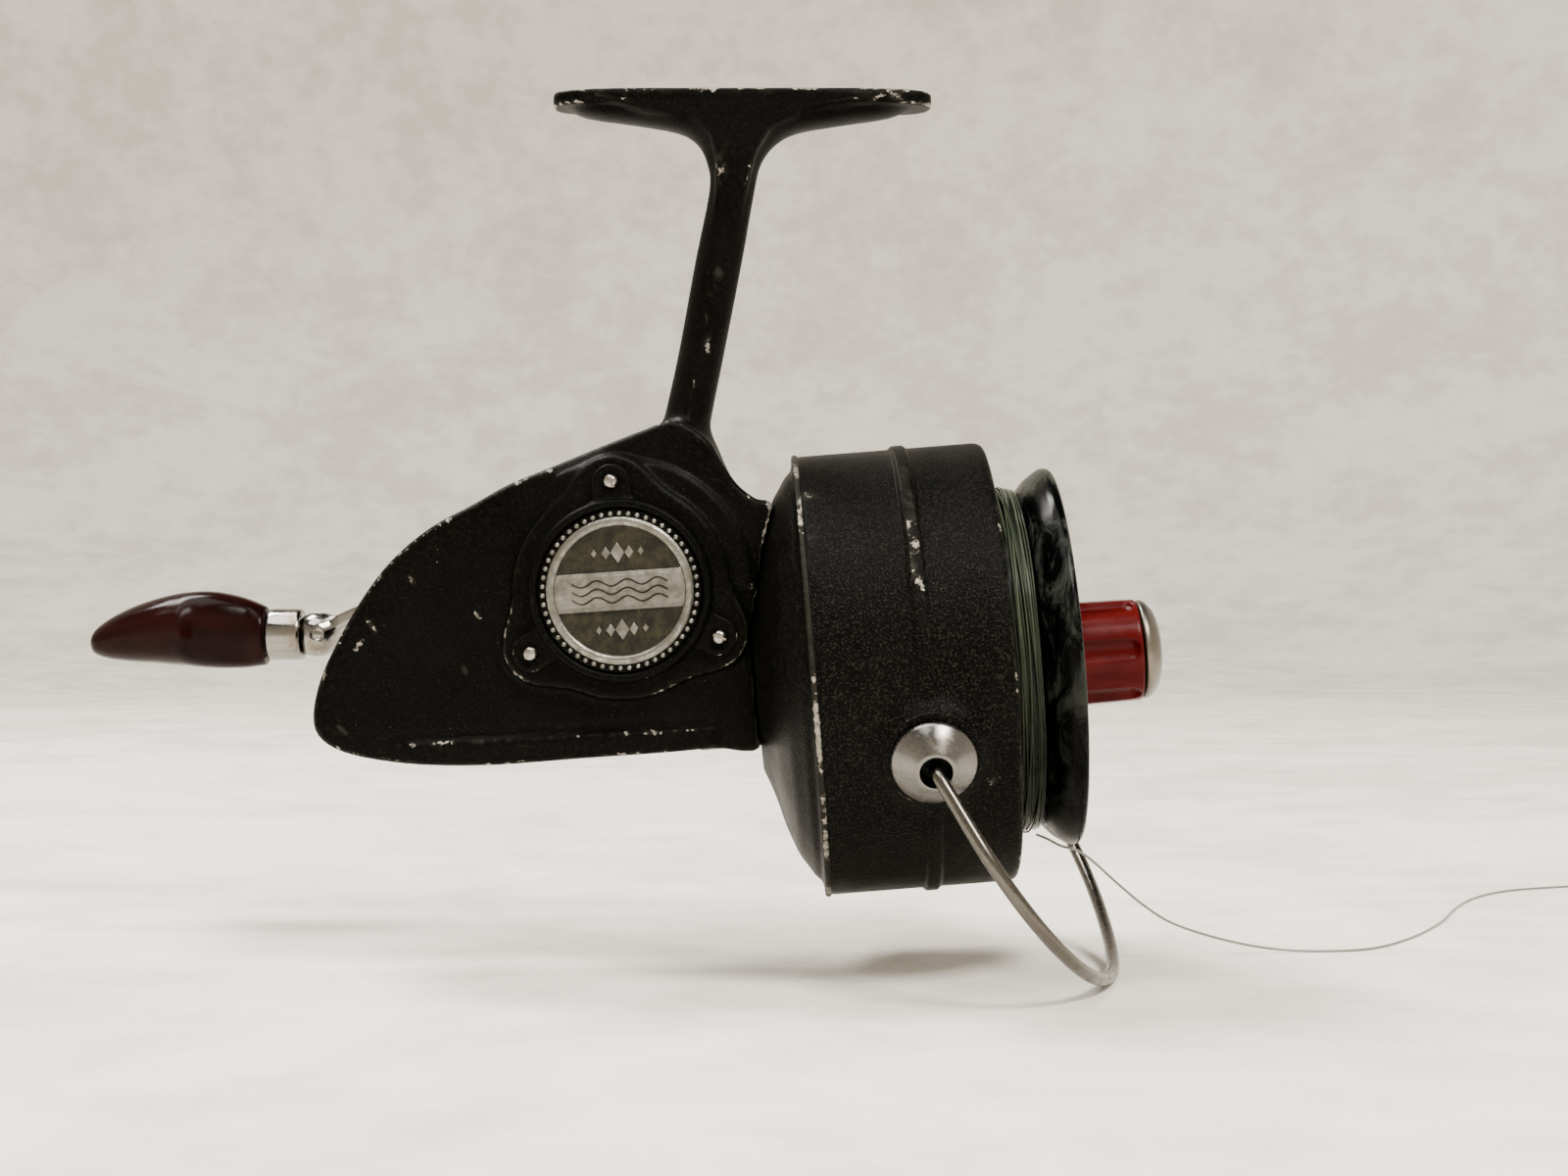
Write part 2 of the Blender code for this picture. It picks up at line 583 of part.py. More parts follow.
def rotor_parts(frame, bail_frame, paint):
    inner = ROTOR_RADIUS - ROTOR_WALL
    profile = [
        (-10.0, 13.0), (-10.0, 16.9), (-8.1, 21.9), (-6.6, 27.9), (-4.5, 33.3), (-3.0, 35.5),
        (-1.9, 37.3), (-0.7, 38.4),
        (-0.4, 41.0), (0.1, 41.35), (1.2, 41.35), (1.6, ROTOR_RADIUS), (RIB_FROM, ROTOR_RADIUS),
        (RIB_FROM + 0.4, 41.7), (RIB_TO - 0.4, 41.7), (RIB_TO, ROTOR_RADIUS),
        (ROTOR_LENGTH - 1.4, ROTOR_RADIUS), (ROTOR_LENGTH - 0.4, ROTOR_RADIUS - 0.4),
        (ROTOR_LENGTH, ROTOR_RADIUS - 1.2), (ROTOR_LENGTH, inner), (2.6, inner),
        (-0.4, 35.2), (-4.4, 25.0), (-5.0, 18.5), (-1.5, 14.6), (-1.5, 9.0),
        (8.1, 9.0), (8.1, 4.7), (-4.4, 4.7), (-4.4, 13.0),
    ]
    item = mesh_object("rotor_cup", turned(profile, 38), paint, frame)
    near = turned([(39.6, 0.0), (39.6, 8.6), (41.6, 8.2), (43.3, 7.7), (43.3, 2.5), (46.0, 2.5),
                   (46.3, 2.2), (46.3, 0.0)], 28)
    boolean(item, cutter("near_boss_form", near, bail_frame), "UNION")
    far = turned([(-39.6, 0.0), (-39.6, 8.6), (-41.6, 8.2), (-43.6, 7.7), (-43.6, 2.5),
                  (-53.0, 2.5), (-53.3, 2.2), (-53.3, 0.0)], 28)
    boolean(item, cutter("far_boss_form", far, bail_frame), "UNION")


def bail_path():
    """Centre line of the bail wire as (across, along) from the pivot line's middle."""
    loop = [(47.9, 2.2), (50.0, 3.6), (52.8, 5.9), (56.0, 9.0), (59.0, 13.2), (60.9, 17.6),
            (61.9, 22.6), (61.7, 28.2), (60.0, 34.2), (56.5, 40.6), (50.6, 47.2), (42.0, 53.4),
            (31.0, 58.8), (19.0, 61.8), (7.0, 63.0), (-6.0, 62.9), (-18.0, 61.0), (-28.0, 57.2),
            (-36.0, 51.4), (-41.4, 43.8), (-43.2, 36.4), (-42.6, 30.6)]
    return [(p, 0.0, b) for p, b in smooth_open(loop, 2)]


def bail_parts(frame, chrome, steel):
    wire = mesh_object("bail_wire", tube(bail_path(), BAIL_WIRE_RADIUS, 7), chrome, frame)
    eye = turned([(-43.9, 0.0), (-43.9, 3.6), (-41.3, 3.6), (-41.3, 0.0)], 24, (0.0, 0.0, 27.0))
    boolean(wire, cutter("bail_eye_form", eye, frame), "UNION")
    bore = rod(-50.0, -35.0, 1.5, 16, 0.0, (0.0, 0.0, 27.0))
    boolean(wire, cutter("bail_eye_bore", bore, frame), "DIFFERENCE")
    profile = [(43.7, 2.85), (43.7, 7.4), (44.6, 7.5), (46.4, 6.2), (48.2, 4.2), (48.9, 3.3),
               (48.9, 2.85)]
    near = mesh_object("bail_nut_near", turned(profile, 28), chrome, frame)
    room = tube([(46.6, 0.0, 1.2), (50.2, 0.0, 3.7), (54.0, 0.0, 6.9)], 1.62, 14)
    boolean(near, cutter("wire_room_form", room, frame), "DIFFERENCE")
    arm = [(-7.0, -4.2), (-3.4, -6.9), (3.4, -6.9), (7.0, -4.2), (7.2, 2.0), (5.4, 12.0),
           (4.4, 22.0), (4.2, 27.0), (2.8, 30.2), (-2.8, 30.2), (-4.2, 27.0), (-4.4, 22.0),
           (-5.4, 12.0), (-7.2, 2.0)]
    rings = []
    for x, inset in ((-50.2, 0.5), (-49.8, 0.0), (-47.7, 0.0), (-47.3, 0.4)):
        outline = shifted_outline(arm, inset)
        rings.append([(x, p.x, p.y) for p in outline])
    far = mesh_object("bail_arm", loft(rings), chrome, frame)
    boolean(far, cutter("arm_pivot_bore", rod(-60.0, -40.0, 2.8, 20), frame), "DIFFERENCE")
    hole = rod(-60.0, -40.0, 1.5, 16, 0.0, (0.0, 0.0, 27.0))
    boolean(far, cutter("arm_screw_bore", hole, frame), "DIFFERENCE")
    cap = [(-50.5, 2.8), (-50.5, 7.4), (-51.4, 7.5), (-53.4, 6.0), (-54.4, 4.0), (-54.8, 2.8)]
    mesh_object("bail_nut_far", turned(cap, 24), chrome, frame)
    screw = [(-52.0, 0.0), (-52.0, 2.0), (-51.4, 2.8), (-50.5, 2.9), (-50.5, 1.2), (-40.9, 1.2),
             (-40.9, 0.0)]
    mesh_object("roller_screw", turned(screw, 18, (0.0, 0.0, 27.0)), steel, frame)
    roller = [(-47.0, 1.5), (-47.0, 3.4), (-46.4, 3.5), (-45.6, 2.9), (-44.8, 3.5), (-44.2, 3.4),
              (-44.2, 1.5)]
    mesh_object("line_roller", turned(roller, 24, (0.0, 0.0, 27.0)), chrome, frame,
                (-45.6, 0.0, 27.0))
    coil = []
    for i in range(31):
        a = 2 * math.pi * 2.5 * i / 30
        coil.append((-44.4 - 2.2 * i / 30, 4.0 * math.cos(a), 4.0 * math.sin(a)))
    mesh_object("bail_spring", tube(coil, 0.35, 5), steel, frame)


# ---------------------------------------------------------------- shaft, spool and drag

def shaft_parts(frame, steel, brass):
    profile = [(-59.0, 0.0), (-59.0, 2.7), (-58.7, SHAFT_RADIUS), (58.6, SHAFT_RADIUS),
               (59.0, 2.6), (59.0, 0.0)]
    mesh_object("main_shaft", turned(profile, 20), steel, frame)
    block = plate([(-58.0, -4.6), (-53.2, -4.6), (-53.2, 4.6), (-58.0, 4.6)], -7.2, 4.6, 0.4)
    slider = mesh_object("oscillation_slider", block, brass, frame)
    arm = [(-58.0, -2.0), (-53.2, -2.0), (-46.0, 8.0), (-37.0, 8.0), (-37.0, 29.2),
           (-43.6, 29.2), (-58.0, 12.0)]
    boolean(slider, cutter("slider_arm_form", plate(arm, -9.4, -6.8, 0.2), frame), "UNION")
    slot = plate([(-41.9, 9.8), (-38.1, 9.8), (-38.1, 27.2), (-41.9, 27.2)], -20.0, 0.0)
    boolean(slider, cutter("slider_slot_form", slot, frame), "DIFFERENCE")
    bore = rod(-62.0, -50.0, 3.3, 20)
    boolean(slider, cutter("slider_bore_form", bore, frame), "DIFFERENCE")
    mesh_object("spool_rest_washer", ring(19.4, 20.9, 3.3, 7.6, 28), brass, frame)


def spool_parts(frame, black, line_mat, steel, fibre):
    profile = [
        (21.4, 3.4), (21.4, 37.2), (21.8, 37.6), (23.1, 37.6), (23.5, 37.2), (23.5, 21.0),
        (40.6, 21.0), (40.9, 31.4),
        (42.6, 33.4), (44.6, 34.8), (45.8, 35.25), (46.8, FLANGE_RADIUS), (47.4, 34.9),
        (47.5, 34.2), (46.9, 33.2), (45.6, 31.6), (44.4, 28.0), (44.0, 18.0), (44.6, 16.4),
        (44.6, 15.2), (30.0, 15.2), (30.0, 3.4),
    ]
    mesh_object("spool", turned(profile, 32), black, frame)
    wound = [(23.8, 21.3), (23.8, 31.6), (24.4, LINE_RADIUS), (32.0, LINE_RADIUS + 0.2),
             (39.6, LINE_RADIUS), (40.4, 31.2), (40.3, 21.3)]
    mesh_object("line_winding", turned(wound, 32), line_mat, frame)
    stack = (("drag_washer_keyed_rear", 30.3, 31.4, steel), ("drag_washer_fibre", 31.7, 32.9, fibre),
             ("drag_washer_keyed_front", 33.2, 34.3, steel))
    for name, low, high, mat in stack:
        mesh_object(name, ring(low, high, 3.4, 14.8, 24), mat, frame)


def drag_parts(frame, red, silver, steel):
    profile = [(44.9, 9.2), (45.4, 9.8), (52.0, 9.55), (61.0, 9.1), (61.5, 8.7),
               (61.5, 3.4), (50.0, 3.4), (50.0, 6.8), (44.9, 6.8)]
    knob = mesh_object("drag_knob", turned(profile, 24), red, frame)
    for i in range(6):
        a = math.radians(60 * i + 12)
        flute = rod(47.6, 58.6, 1.9, 10, 1.4, (0.0, 10.9 * math.cos(a), 10.9 * math.sin(a)))
        boolean(knob, cutter("flute_form_%d" % i, flute, frame), "DIFFERENCE")
    cap = [(61.8, 0.0), (61.8, 8.7), (62.4, 8.9), (63.4, 8.5), (64.8, 6.8), (65.6, 4.0),
           (65.8, 0.0)]
    mesh_object("drag_knob_cap", turned(cap, 28), silver, frame)
    coil = []
    for i in range(49):
        a = 2 * math.pi * 4.0 * i / 48
        coil.append((35.3 + 13.6 * i / 48, 5.2 * math.cos(a), 5.2 * math.sin(a)))
    mesh_object("drag_spring", tube(coil, 0.6, 5), steel, frame)


# ---------------------------------------------------------------- loose line

def loose_line_points():
    """Route of the free end: off the winding, over the spool's lip and down to the surface."""
    lie = FLOOR_Z + 0.5 * LINE_THICKNESS
    return [
        (55.1, 0.0, -138.75), (57.2, 0.1, -139.6), (59.8, 0.3, -140.95), (62.0, 0.7, -141.5),
        (63.9, 1.2, -142.4), (66.5, 2.2, -144.4), (70.9, 4.2, -148.4), (76.9, 7.2, -153.4),
        (83.1, 10.4, -157.2), (93.3, 14.8, -160.8), (103.3, 17.2, -162.9), (112.9, 17.6, lie),
        (123.5, 21.0, lie), (135.5, 36.0, lie), (147.0, 57.0, lie), (156.0, 78.0, lie),
        (165.5, 96.0, lie), (177.0, 109.0, lie), (191.0, 116.0, lie), (206.0, 121.0, lie),
    ]


def loose_line(line_mat):
    points = smooth_open(loose_line_points(), 3)
    curve = bpy.data.curves.new("loose_line", "CURVE")
    curve.dimensions = "3D"
    curve.bevel_depth = 0.5 * LINE_THICKNESS * MM
    curve.bevel_resolution = 2
    curve.render_resolution_u = 0
    curve.use_fill_caps = True
    spline = curve.splines.new("POLY")
    spline.points.add(len(points) - 1)
    for slot, point in zip(spline.points, points):
        slot.co = (point[0] * MM, point[1] * MM, point[2] * MM, 1.0)
    curve.materials.append(line_mat)
    item = bpy.data.objects.new("loose_line", curve)
    bpy.context.scene.collection.objects.link(item)
    return item


def main():
    clear_scene()
    paint = material("black_paint", (0.012, 0.012, 0.012), 0.5)
    gloss_black = material("spool_black", (0.008, 0.009, 0.010), 0.22)
    chrome = material("chrome", (0.62, 0.61, 0.60), 0.15, 1.0)
    silver = material("silver", (0.60, 0.59, 0.57), 0.3, 1.0)
    steel = material("steel", (0.42, 0.42, 0.43), 0.35, 1.0)
    brass = material("brass", (0.62, 0.44, 0.16), 0.35, 1.0)
    burgundy = material("burgundy_plastic", (0.10, 0.012, 0.014), 0.2)
    red = material("red_plastic", (0.22, 0.012, 0.012), 0.2)
    line_mat = material("line_nylon", (0.16, 0.20, 0.14), 0.3)
    fibre = material("fibre", (0.20, 0.14, 0.09), 0.8)

    tilt = Matrix.Rotation(-math.radians(SHAFT_TILT), 4, "Y")
    shaft_frame = empty("shaft_frame", Matrix.Translation(Vector(SHAFT_ORIGIN) * MM) @ tilt)
    alpha = math.radians(BAIL_ALPHA)
    beta = math.radians(BAIL_BETA)
    out = Vector((0.0, -math.cos(alpha), -math.sin(alpha)))
    lateral = Vector((0.0, math.sin(alpha), -math.cos(alpha)))
    reach = Vector((1.0, 0.0, 0.0)) * math.cos(beta) + lateral * math.sin(beta)
    turn = Matrix((out, reach.cross(out), reach)).transposed().to_4x4()
    place = Matrix.Translation(Vector((BAIL_S, 0.0, 0.0)) * MM) @ turn
    bail_frame = empty("bail_frame", place, shaft_frame)

    housing(shaft_frame, paint)
    cover_parts(paint, silver, brass)
    anti_reverse_parts(silver, steel)
    crank_parts(brass, steel, chrome)
    knob_parts(chrome, steel, burgundy)
    pinion_parts(shaft_frame, brass, steel)
    rotor_parts(shaft_frame, bail_frame, paint)
    bail_parts(bail_frame, chrome, steel)
    shaft_parts(shaft_frame, steel, brass)
    spool_parts(shaft_frame, gloss_black, line_mat, steel, fibre)
    drag_parts(shaft_frame, red, silver, steel)
    loose_line(line_mat)


main()
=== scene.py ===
"""Looks of a fixed-spool fishing reel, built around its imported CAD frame.

Shapes are worked out in millimetres: in the row frame, in the shaft frame (+X along the
spool shaft, from the rotor's rear rim) or in the bail frame (+X along its pivot line,
+Z along the opened loop).  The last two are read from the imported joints.  Cast and
moulded pieces are meshed from distance fields, turned pieces from rounded profiles.
A wear spot is (point in the row frame, radius, amount).
"""
import json
import math

import bmesh
import bpy
import numpy as np
from mathutils import Matrix, Vector

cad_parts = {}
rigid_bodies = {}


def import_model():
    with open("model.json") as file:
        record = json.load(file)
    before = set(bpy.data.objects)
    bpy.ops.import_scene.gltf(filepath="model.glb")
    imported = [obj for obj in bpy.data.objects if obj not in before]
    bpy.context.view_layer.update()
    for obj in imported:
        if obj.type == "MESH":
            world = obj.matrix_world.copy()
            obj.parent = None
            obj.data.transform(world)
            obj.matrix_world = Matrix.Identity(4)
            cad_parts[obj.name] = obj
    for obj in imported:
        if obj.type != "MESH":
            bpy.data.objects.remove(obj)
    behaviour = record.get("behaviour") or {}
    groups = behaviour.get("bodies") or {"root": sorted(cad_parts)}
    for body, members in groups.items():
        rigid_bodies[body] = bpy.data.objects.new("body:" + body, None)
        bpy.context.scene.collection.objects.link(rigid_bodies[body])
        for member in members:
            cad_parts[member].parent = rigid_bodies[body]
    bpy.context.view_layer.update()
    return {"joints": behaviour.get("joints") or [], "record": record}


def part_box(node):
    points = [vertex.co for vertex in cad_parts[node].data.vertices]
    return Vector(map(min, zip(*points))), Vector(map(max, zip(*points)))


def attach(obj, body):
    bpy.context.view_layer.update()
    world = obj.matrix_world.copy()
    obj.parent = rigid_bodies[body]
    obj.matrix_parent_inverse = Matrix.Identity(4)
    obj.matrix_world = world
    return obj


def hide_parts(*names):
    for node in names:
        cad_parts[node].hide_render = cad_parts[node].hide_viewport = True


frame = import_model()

MM = 0.001
RECORD = frame["record"]
JOINTS = {joint["name"]: joint for joint in frame["joints"]}
BODY_OF = {node: body for body, nodes in RECORD["behaviour"]["bodies"].items() for node in nodes}
SLOT_OF = {part["node"]: part["material_slot"] for part in RECORD["subparts"]}


# ---------------------------------------------------------------- frames and sizes

def joint_point(name):
    return Vector(JOINTS[name]["pos_m"]) / MM


def basis(origin, x, y, z):
    return Matrix.Translation(origin) @ Matrix((x, y, z)).transposed().to_4x4()


ROW = Matrix.Identity(4)
SHAFT_AXIS = Vector(JOINTS["rotor_spin"]["axis"]).normalized()
SHAFT_ORIGIN = joint_point("rotor_spin")
SHAFT = basis(SHAFT_ORIGIN, SHAFT_AXIS, Vector((0, 1, 0)), SHAFT_AXIS.cross(Vector((0, 1, 0))))

BAIL_OPEN = math.radians(58.0)
BAIL_OUT = Vector(JOINTS["bail_flip"]["axis"]).normalized()
BAIL_REACH = SHAFT_AXIS * math.cos(BAIL_OPEN) + SHAFT_AXIS.cross(BAIL_OUT) * math.sin(BAIL_OPEN)
BAIL = basis(joint_point("bail_flip"), BAIL_OUT, BAIL_REACH.cross(BAIL_OUT), BAIL_REACH)

CRANK = joint_point("crank_turn")
KNUCKLE = joint_point("knob_fold")
LEVER = joint_point("anti_reverse_switch")
CRANK_FRAME = basis(Vector((CRANK.x, 0, CRANK.z)), Vector((0, 1, 0)), Vector((0, 0, 1)),
                    Vector((1, 0, 0)))
FLOOR_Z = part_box("loose_line")[0].z / MM

BODY_HALF = 15.5
MOUND_Y = -BODY_HALF - 2.2
ROTOR_RADIUS = 41.0
ROLLER_REACH = 27.0
SCREW_HOLE = 1.15
LOOSE_LINE_RADIUS = 0.24
STRAND_RADIUS = 0.2
BAIL_WIRE_RADIUS = 1.22
HIDDEN_BY_BAIL_NUT = 43.9
LEVEL_STRANDS = 44
CROSSING_STRANDS = 26
BEADS = 54
FLUTES = 6
BADGE_TURN = math.radians(-3.8)
COVER_FRAME = basis(Vector((CRANK.x, MOUND_Y, CRANK.z)), Vector((0, -1, 0)),
                    Vector((math.cos(BADGE_TURN), 0, -math.sin(BADGE_TURN))),
                    Vector((math.sin(BADGE_TURN), 0, math.cos(BADGE_TURN))))
EARS = [(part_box("cover_screw_" + e)[0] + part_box("cover_screw_" + e)[1]) / 2 / MM
        for e in ("top", "rear", "front")]


# ---------------------------------------------------------------- camera, lights and stage

def camera():
    data = bpy.data.cameras.new("camera")
    data.lens = 54.0
    data.sensor_width = 36.0
    data.clip_start = 0.01
    data.clip_end = 20.0
    item = bpy.data.objects.new("camera", data)
    item.location = (0.0078, -0.4415, -0.0925)
    item.rotation_euler = (math.radians(90), 0, 0)
    bpy.context.scene.collection.objects.link(item)
    bpy.context.scene.camera = item


def lamp(name, place, size, energy, colour):
    """Square soft light aimed at the middle of the reel."""
    data = bpy.data.lights.new(name, "AREA")
    data.size = size
    data.energy = energy
    data.color = colour
    item = bpy.data.objects.new(name, data)
    item.location = place
    aim = Vector((0.0, 0.0, -0.09)) - item.location
    item.rotation_euler = aim.to_track_quat("-Z", "Y").to_euler()
    item.visible_camera = False
    bpy.context.scene.collection.objects.link(item)


def lights():
    lamp("key_light", (0.50, -0.70, 0.95), 0.42, 30.0, (1.0, 0.96, 0.90))
    lamp("back_light", (-0.55, 0.45, 1.00), 0.42, 30.0, (1.0, 0.96, 0.90))
    lamp("top_light", (-0.35, -0.35, 1.25), 0.90, 22.0, (1.0, 0.97, 0.93))
    world = bpy.data.worlds.new("studio")
    world.use_nodes = True
    world.node_tree.nodes["Background"].inputs["Color"].default_value = (0.86, 0.88, 0.92, 1)
    world.node_tree.nodes["Background"].inputs["Strength"].default_value = 0.045
    bpy.context.scene.world = world


# ---------------------------------------------------------------- material building

class Look:
    """A Principled material, and short ways to add the nodes that feed it."""

    def __init__(self, name, view_colour, **sockets):
        self.mat = bpy.data.materials.new(name)
        self.mat.use_nodes = True
        self.mat.diffuse_color = (*view_colour, 1.0)
        self.tree = self.mat.node_tree
        self.feed(**sockets)

    def plug(self, socket, value):
        if isinstance(value, bpy.types.NodeSocket):
            self.tree.links.new(value, socket)
        elif isinstance(value, tuple) and len(value) == 3 and socket.type == "RGBA":
            socket.default_value = (*value, 1.0)
        else:
            socket.default_value = value

    def feed(self, **sockets):
        """Links or sets the shader's sockets, named with underscores for spaces."""
        shader = self.tree.nodes["Principled BSDF"]
        for key, value in sockets.items():
            self.plug(shader.inputs[key.replace("_", " ")], value)
        return self.mat

    def add(self, kind, sockets, **settings):
        made = self.tree.nodes.new("ShaderNode" + kind)
        for key, value in settings.items():
            setattr(made, key, value)
        for key, value in sockets.items():
            self.plug(made.inputs[key], value)
        return made

    def place(self, scale=(1.0, 1.0, 1.0)):
        """Object coordinates in metres, stretched."""
        coords = self.add("TexCoord", {}).outputs["Object"]
        return self.add("Mapping", {"Vector": coords, "Scale": scale}).outputs[0]

    def noise(self, coords, scale, detail=2.0, rough=0.5, warp=0.0):
        inputs = {"Vector": coords, "Scale": scale, "Detail": detail, "Roughness": rough,
                  "Distortion": warp}
        return self.add("TexNoise", inputs).outputs["Fac"]

    def ramp(self, value, low, high, to_low=0.0, to_high=1.0):
        inputs = {"Value": value, "From Min": low, "From Max": high, "To Min": to_low,
                  "To Max": to_high}
        return self.add("MapRange", inputs, interpolation_type="SMOOTHSTEP").outputs[0]

    def maths(self, operation, a, b):
        return self.add("Math", {0: a, 1: b}, operation=operation).outputs[0]

    def plus(self, a, b):
        return self.maths("ADD", a, b)

    def times(self, a, b):
        return self.maths("MULTIPLY", a, b)

    def blend(self, factor, a, b):
        return self.add("Mix", {0: factor, 6: a, 7: b}, data_type="RGBA").outputs[2]

    def bump(self, height, distance, strength=1.0, below=None):
        """Bump of a height in millimetres, on top of another bump if there is one."""
        inputs = {"Height": height, "Distance": distance * MM, "Strength": strength}
        if below is not None:
            inputs["Normal"] = below
        return self.add("Bump", inputs).outputs["Normal"]

    def attribute(self, name):
        return self.add("Attribute", {}, attribute_name=name).outputs["Fac"]


def enamel(name, grain_scale, grain_depth, shade, chip_ease, mottle):
    """Baked black enamel on a casting, worn through to bare metal where `edge` is high."""
    m = Look(name, (0.012, 0.012, 0.011), IOR=1.45, Specular_IOR_Level=0.04)
    at = m.place()
    edge = m.attribute("edge")
    fine = m.noise(at, grain_scale, 1.0)
    cloud = m.noise(at, 55.0, 4.0, 0.6)
    chips = m.noise(at, 900.0, 5.0, 0.66, 0.5)
    reach = m.times(edge, m.ramp(m.noise(at, 110.0), 0.35, 0.62, 0.20, 0.52))
    worn = m.ramp(m.plus(reach, m.times(chips, 0.9)), 1.0 - chip_ease, 1.07 - chip_ease)
    fleck = m.ramp(m.noise(at, 2100.0, 1.0), 0.78, 0.83)
    bare = m.maths("MAXIMUM", worn, m.times(fleck, 0.35))
    dull = tuple(1.9 * c for c in shade)
    bright = tuple(mottle * c for c in shade)
    paint = m.blend(m.ramp(cloud, 0.3, 0.75), shade, dull)
    paint = m.blend(m.ramp(fine, 0.50, 0.72), paint, bright)
    paint = m.blend(m.ramp(edge, 0.45, 1.2, 0.0, 0.7), paint, (0.022, 0.0205, 0.016))
    metal = m.blend(m.ramp(chips, 0.35, 0.7), (0.10, 0.09, 0.072), (0.31, 0.29, 0.24))
    return m.feed(Base_Color=m.blend(bare, paint, metal), Metallic=m.times(bare, 0.5),
                  Roughness=m.ramp(cloud, 0.25, 0.75, 0.34, 0.50),
                  Normal=m.bump(bare, -0.04, 1.0, m.bump(fine, grain_depth)))


def plated(name, colour, rough, stretch, tarnish, stain=(0.16, 0.12, 0.08)):
    """Polished or machined metal with fine scratches along `stretch` and some tarnish."""
    m = Look(name, colour, Metallic=1.0)
    scratch = m.noise(m.place(stretch), 900.0, 4.0, 0.7)
    patch = m.noise(m.place(), 240.0, 5.0, 0.65)
    stained = m.ramp(patch, 0.62 - 0.3 * tarnish, 0.86 - 0.3 * tarnish, 0.0, 0.85)
    light = m.blend(scratch, colour, tuple(0.82 * c for c in colour))
    rub = m.ramp(scratch, 0.3, 0.75, rough, rough + 0.12)
    return m.feed(Base_Color=m.blend(stained, light, stain),
                  Roughness=m.plus(rub, m.times(stained, 0.22)), Normal=m.bump(scratch, 0.012))


def plastic(name, colour, light, rough, swirl, coat):
    """Glossy moulded plastic with faint flow marks, haze and hairline scratches."""
    m = Look(name, colour, IOR=1.5, Specular_IOR_Level=coat)
    flow = m.noise(m.place((1.0, 2.4, 2.4)), swirl, 3.0, 0.55, 0.6)
    haze = m.noise(m.place(), 160.0, 5.0, 0.65)
    hair = m.noise(m.place((0.25, 2.0, 2.0)), 1600.0, 2.0, 0.6)
    return m.feed(Base_Color=m.blend(m.ramp(flow, 0.35, 0.72), colour, light),
                  Roughness=m.ramp(haze, 0.3, 0.8, rough, rough + 0.16),
                  Normal=m.bump(hair, 0.008, 1.0, m.bump(flow, 0.03)))


def spool_enamel():
    """Glossy black enamel with a rubbed rim and a painted reflection: smeared haze that fades
    downwards.
    """
    m = Look("spool_enamel", (0.008, 0.009, 0.009), IOR=1.5, Specular_IOR_Level=0.05)
    at = m.place()
    smear = m.noise(m.place((3.0, 1.0, 1.0)), 70.0, 5.0, 0.7, 0.8)
    fine = m.noise(at, 1300.0, 3.0, 0.6)
    rubbed = m.plus(m.times(m.attribute("edge"), 0.55), m.times(fine, 0.6))
    worn = m.ramp(rubbed, 0.86, 0.93)
    height = m.add("SeparateXYZ", {"Vector": at}).outputs["Z"]
    # Painted reflection: smeared lighter patches, full at the top of the flange and fading to a
    # tenth towards its bottom.
    haze = m.times(m.ramp(smear, 0.44, 0.62), m.ramp(height, -0.140, -0.085, 0.10, 1.0))
    paint = m.blend(haze, (0.0007, 0.0008, 0.0008), (0.030, 0.034, 0.028))
    return m.feed(Base_Color=m.blend(worn, paint, (0.20, 0.19, 0.17)),
                  Metallic=m.times(worn, 0.8), Roughness=m.ramp(smear, 0.3, 0.75, 0.16, 0.42),
                  Normal=m.bump(fine, 0.010))


def nylon(name, dark, light, clear, gloss):
    """Smooth, slightly clear monofilament toned by each strand's `tone`, painted shade included.
    """
    m = Look(name, light, IOR=1.53, Transmission_Weight=clear, Specular_IOR_Level=gloss)
    mottle = m.noise(m.place(), 130.0, 3.0)
    mixed = m.plus(m.times(m.attribute("tone"), 0.7), m.times(mottle, 0.3))
    return m.feed(Base_Color=m.blend(mixed, dark, light),
                  Roughness=m.ramp(mottle, 0.3, 0.7, 0.12, 0.26))


def patina(name, colour, dark, rough):
    """Cast relief metal with oxide in its stippled ground."""
    m = Look(name, colour)
    at = m.place()
    stipple = m.add("TexVoronoi", {"Vector": at, "Scale": 2600.0}).outputs["Distance"]
    grime = m.noise(at, 420.0, 5.0, 0.7)
    return m.feed(Base_Color=m.blend(m.ramp(grime, 0.34, 0.72), dark, colour),
                  Roughness=m.ramp(grime, 0.3, 0.7, rough + 0.25, rough),
                  Metallic=m.ramp(grime, 0.3, 0.7, 0.65, 1.0), Normal=m.bump(stipple, 0.05, 0.7))


def pressed_fibre():
    m = Look("pressed_fibre", (0.20, 0.14, 0.09), Roughness=0.85)
    grain = m.noise(m.place(), 700.0, 6.0, 0.75)
    return m.feed(Base_Color=m.blend(grain, (0.13, 0.085, 0.05), (0.28, 0.20, 0.13)),
                  Normal=m.bump(grain, 0.05))


def felt():
    """Pale felt of the floor, with faint clouds and a soft nap."""
    m = Look("felt", (0.8, 0.79, 0.77), Sheen_Weight=0.15)
    at = m.place()
    nap = m.noise(at, 420.0, 4.0, 0.7)
    soft = m.noise(at, 38.0, 4.0, 0.6)
    shade = m.plus(m.times(m.noise(at, 9.0, 6.0, 0.62), 0.6), m.times(soft, 0.4))
    return m.feed(Base_Color=m.blend(m.ramp(shade, 0.38, 0.60), (0.74, 0.70, 0.635),
                                     (0.95, 0.91, 0.835)),
                  Roughness=m.ramp(nap, 0.2, 0.8, 0.85, 1.0),
                  Normal=m.bump(nap, 0.6, 0.5, m.bump(soft, 2.0, 0.6)))


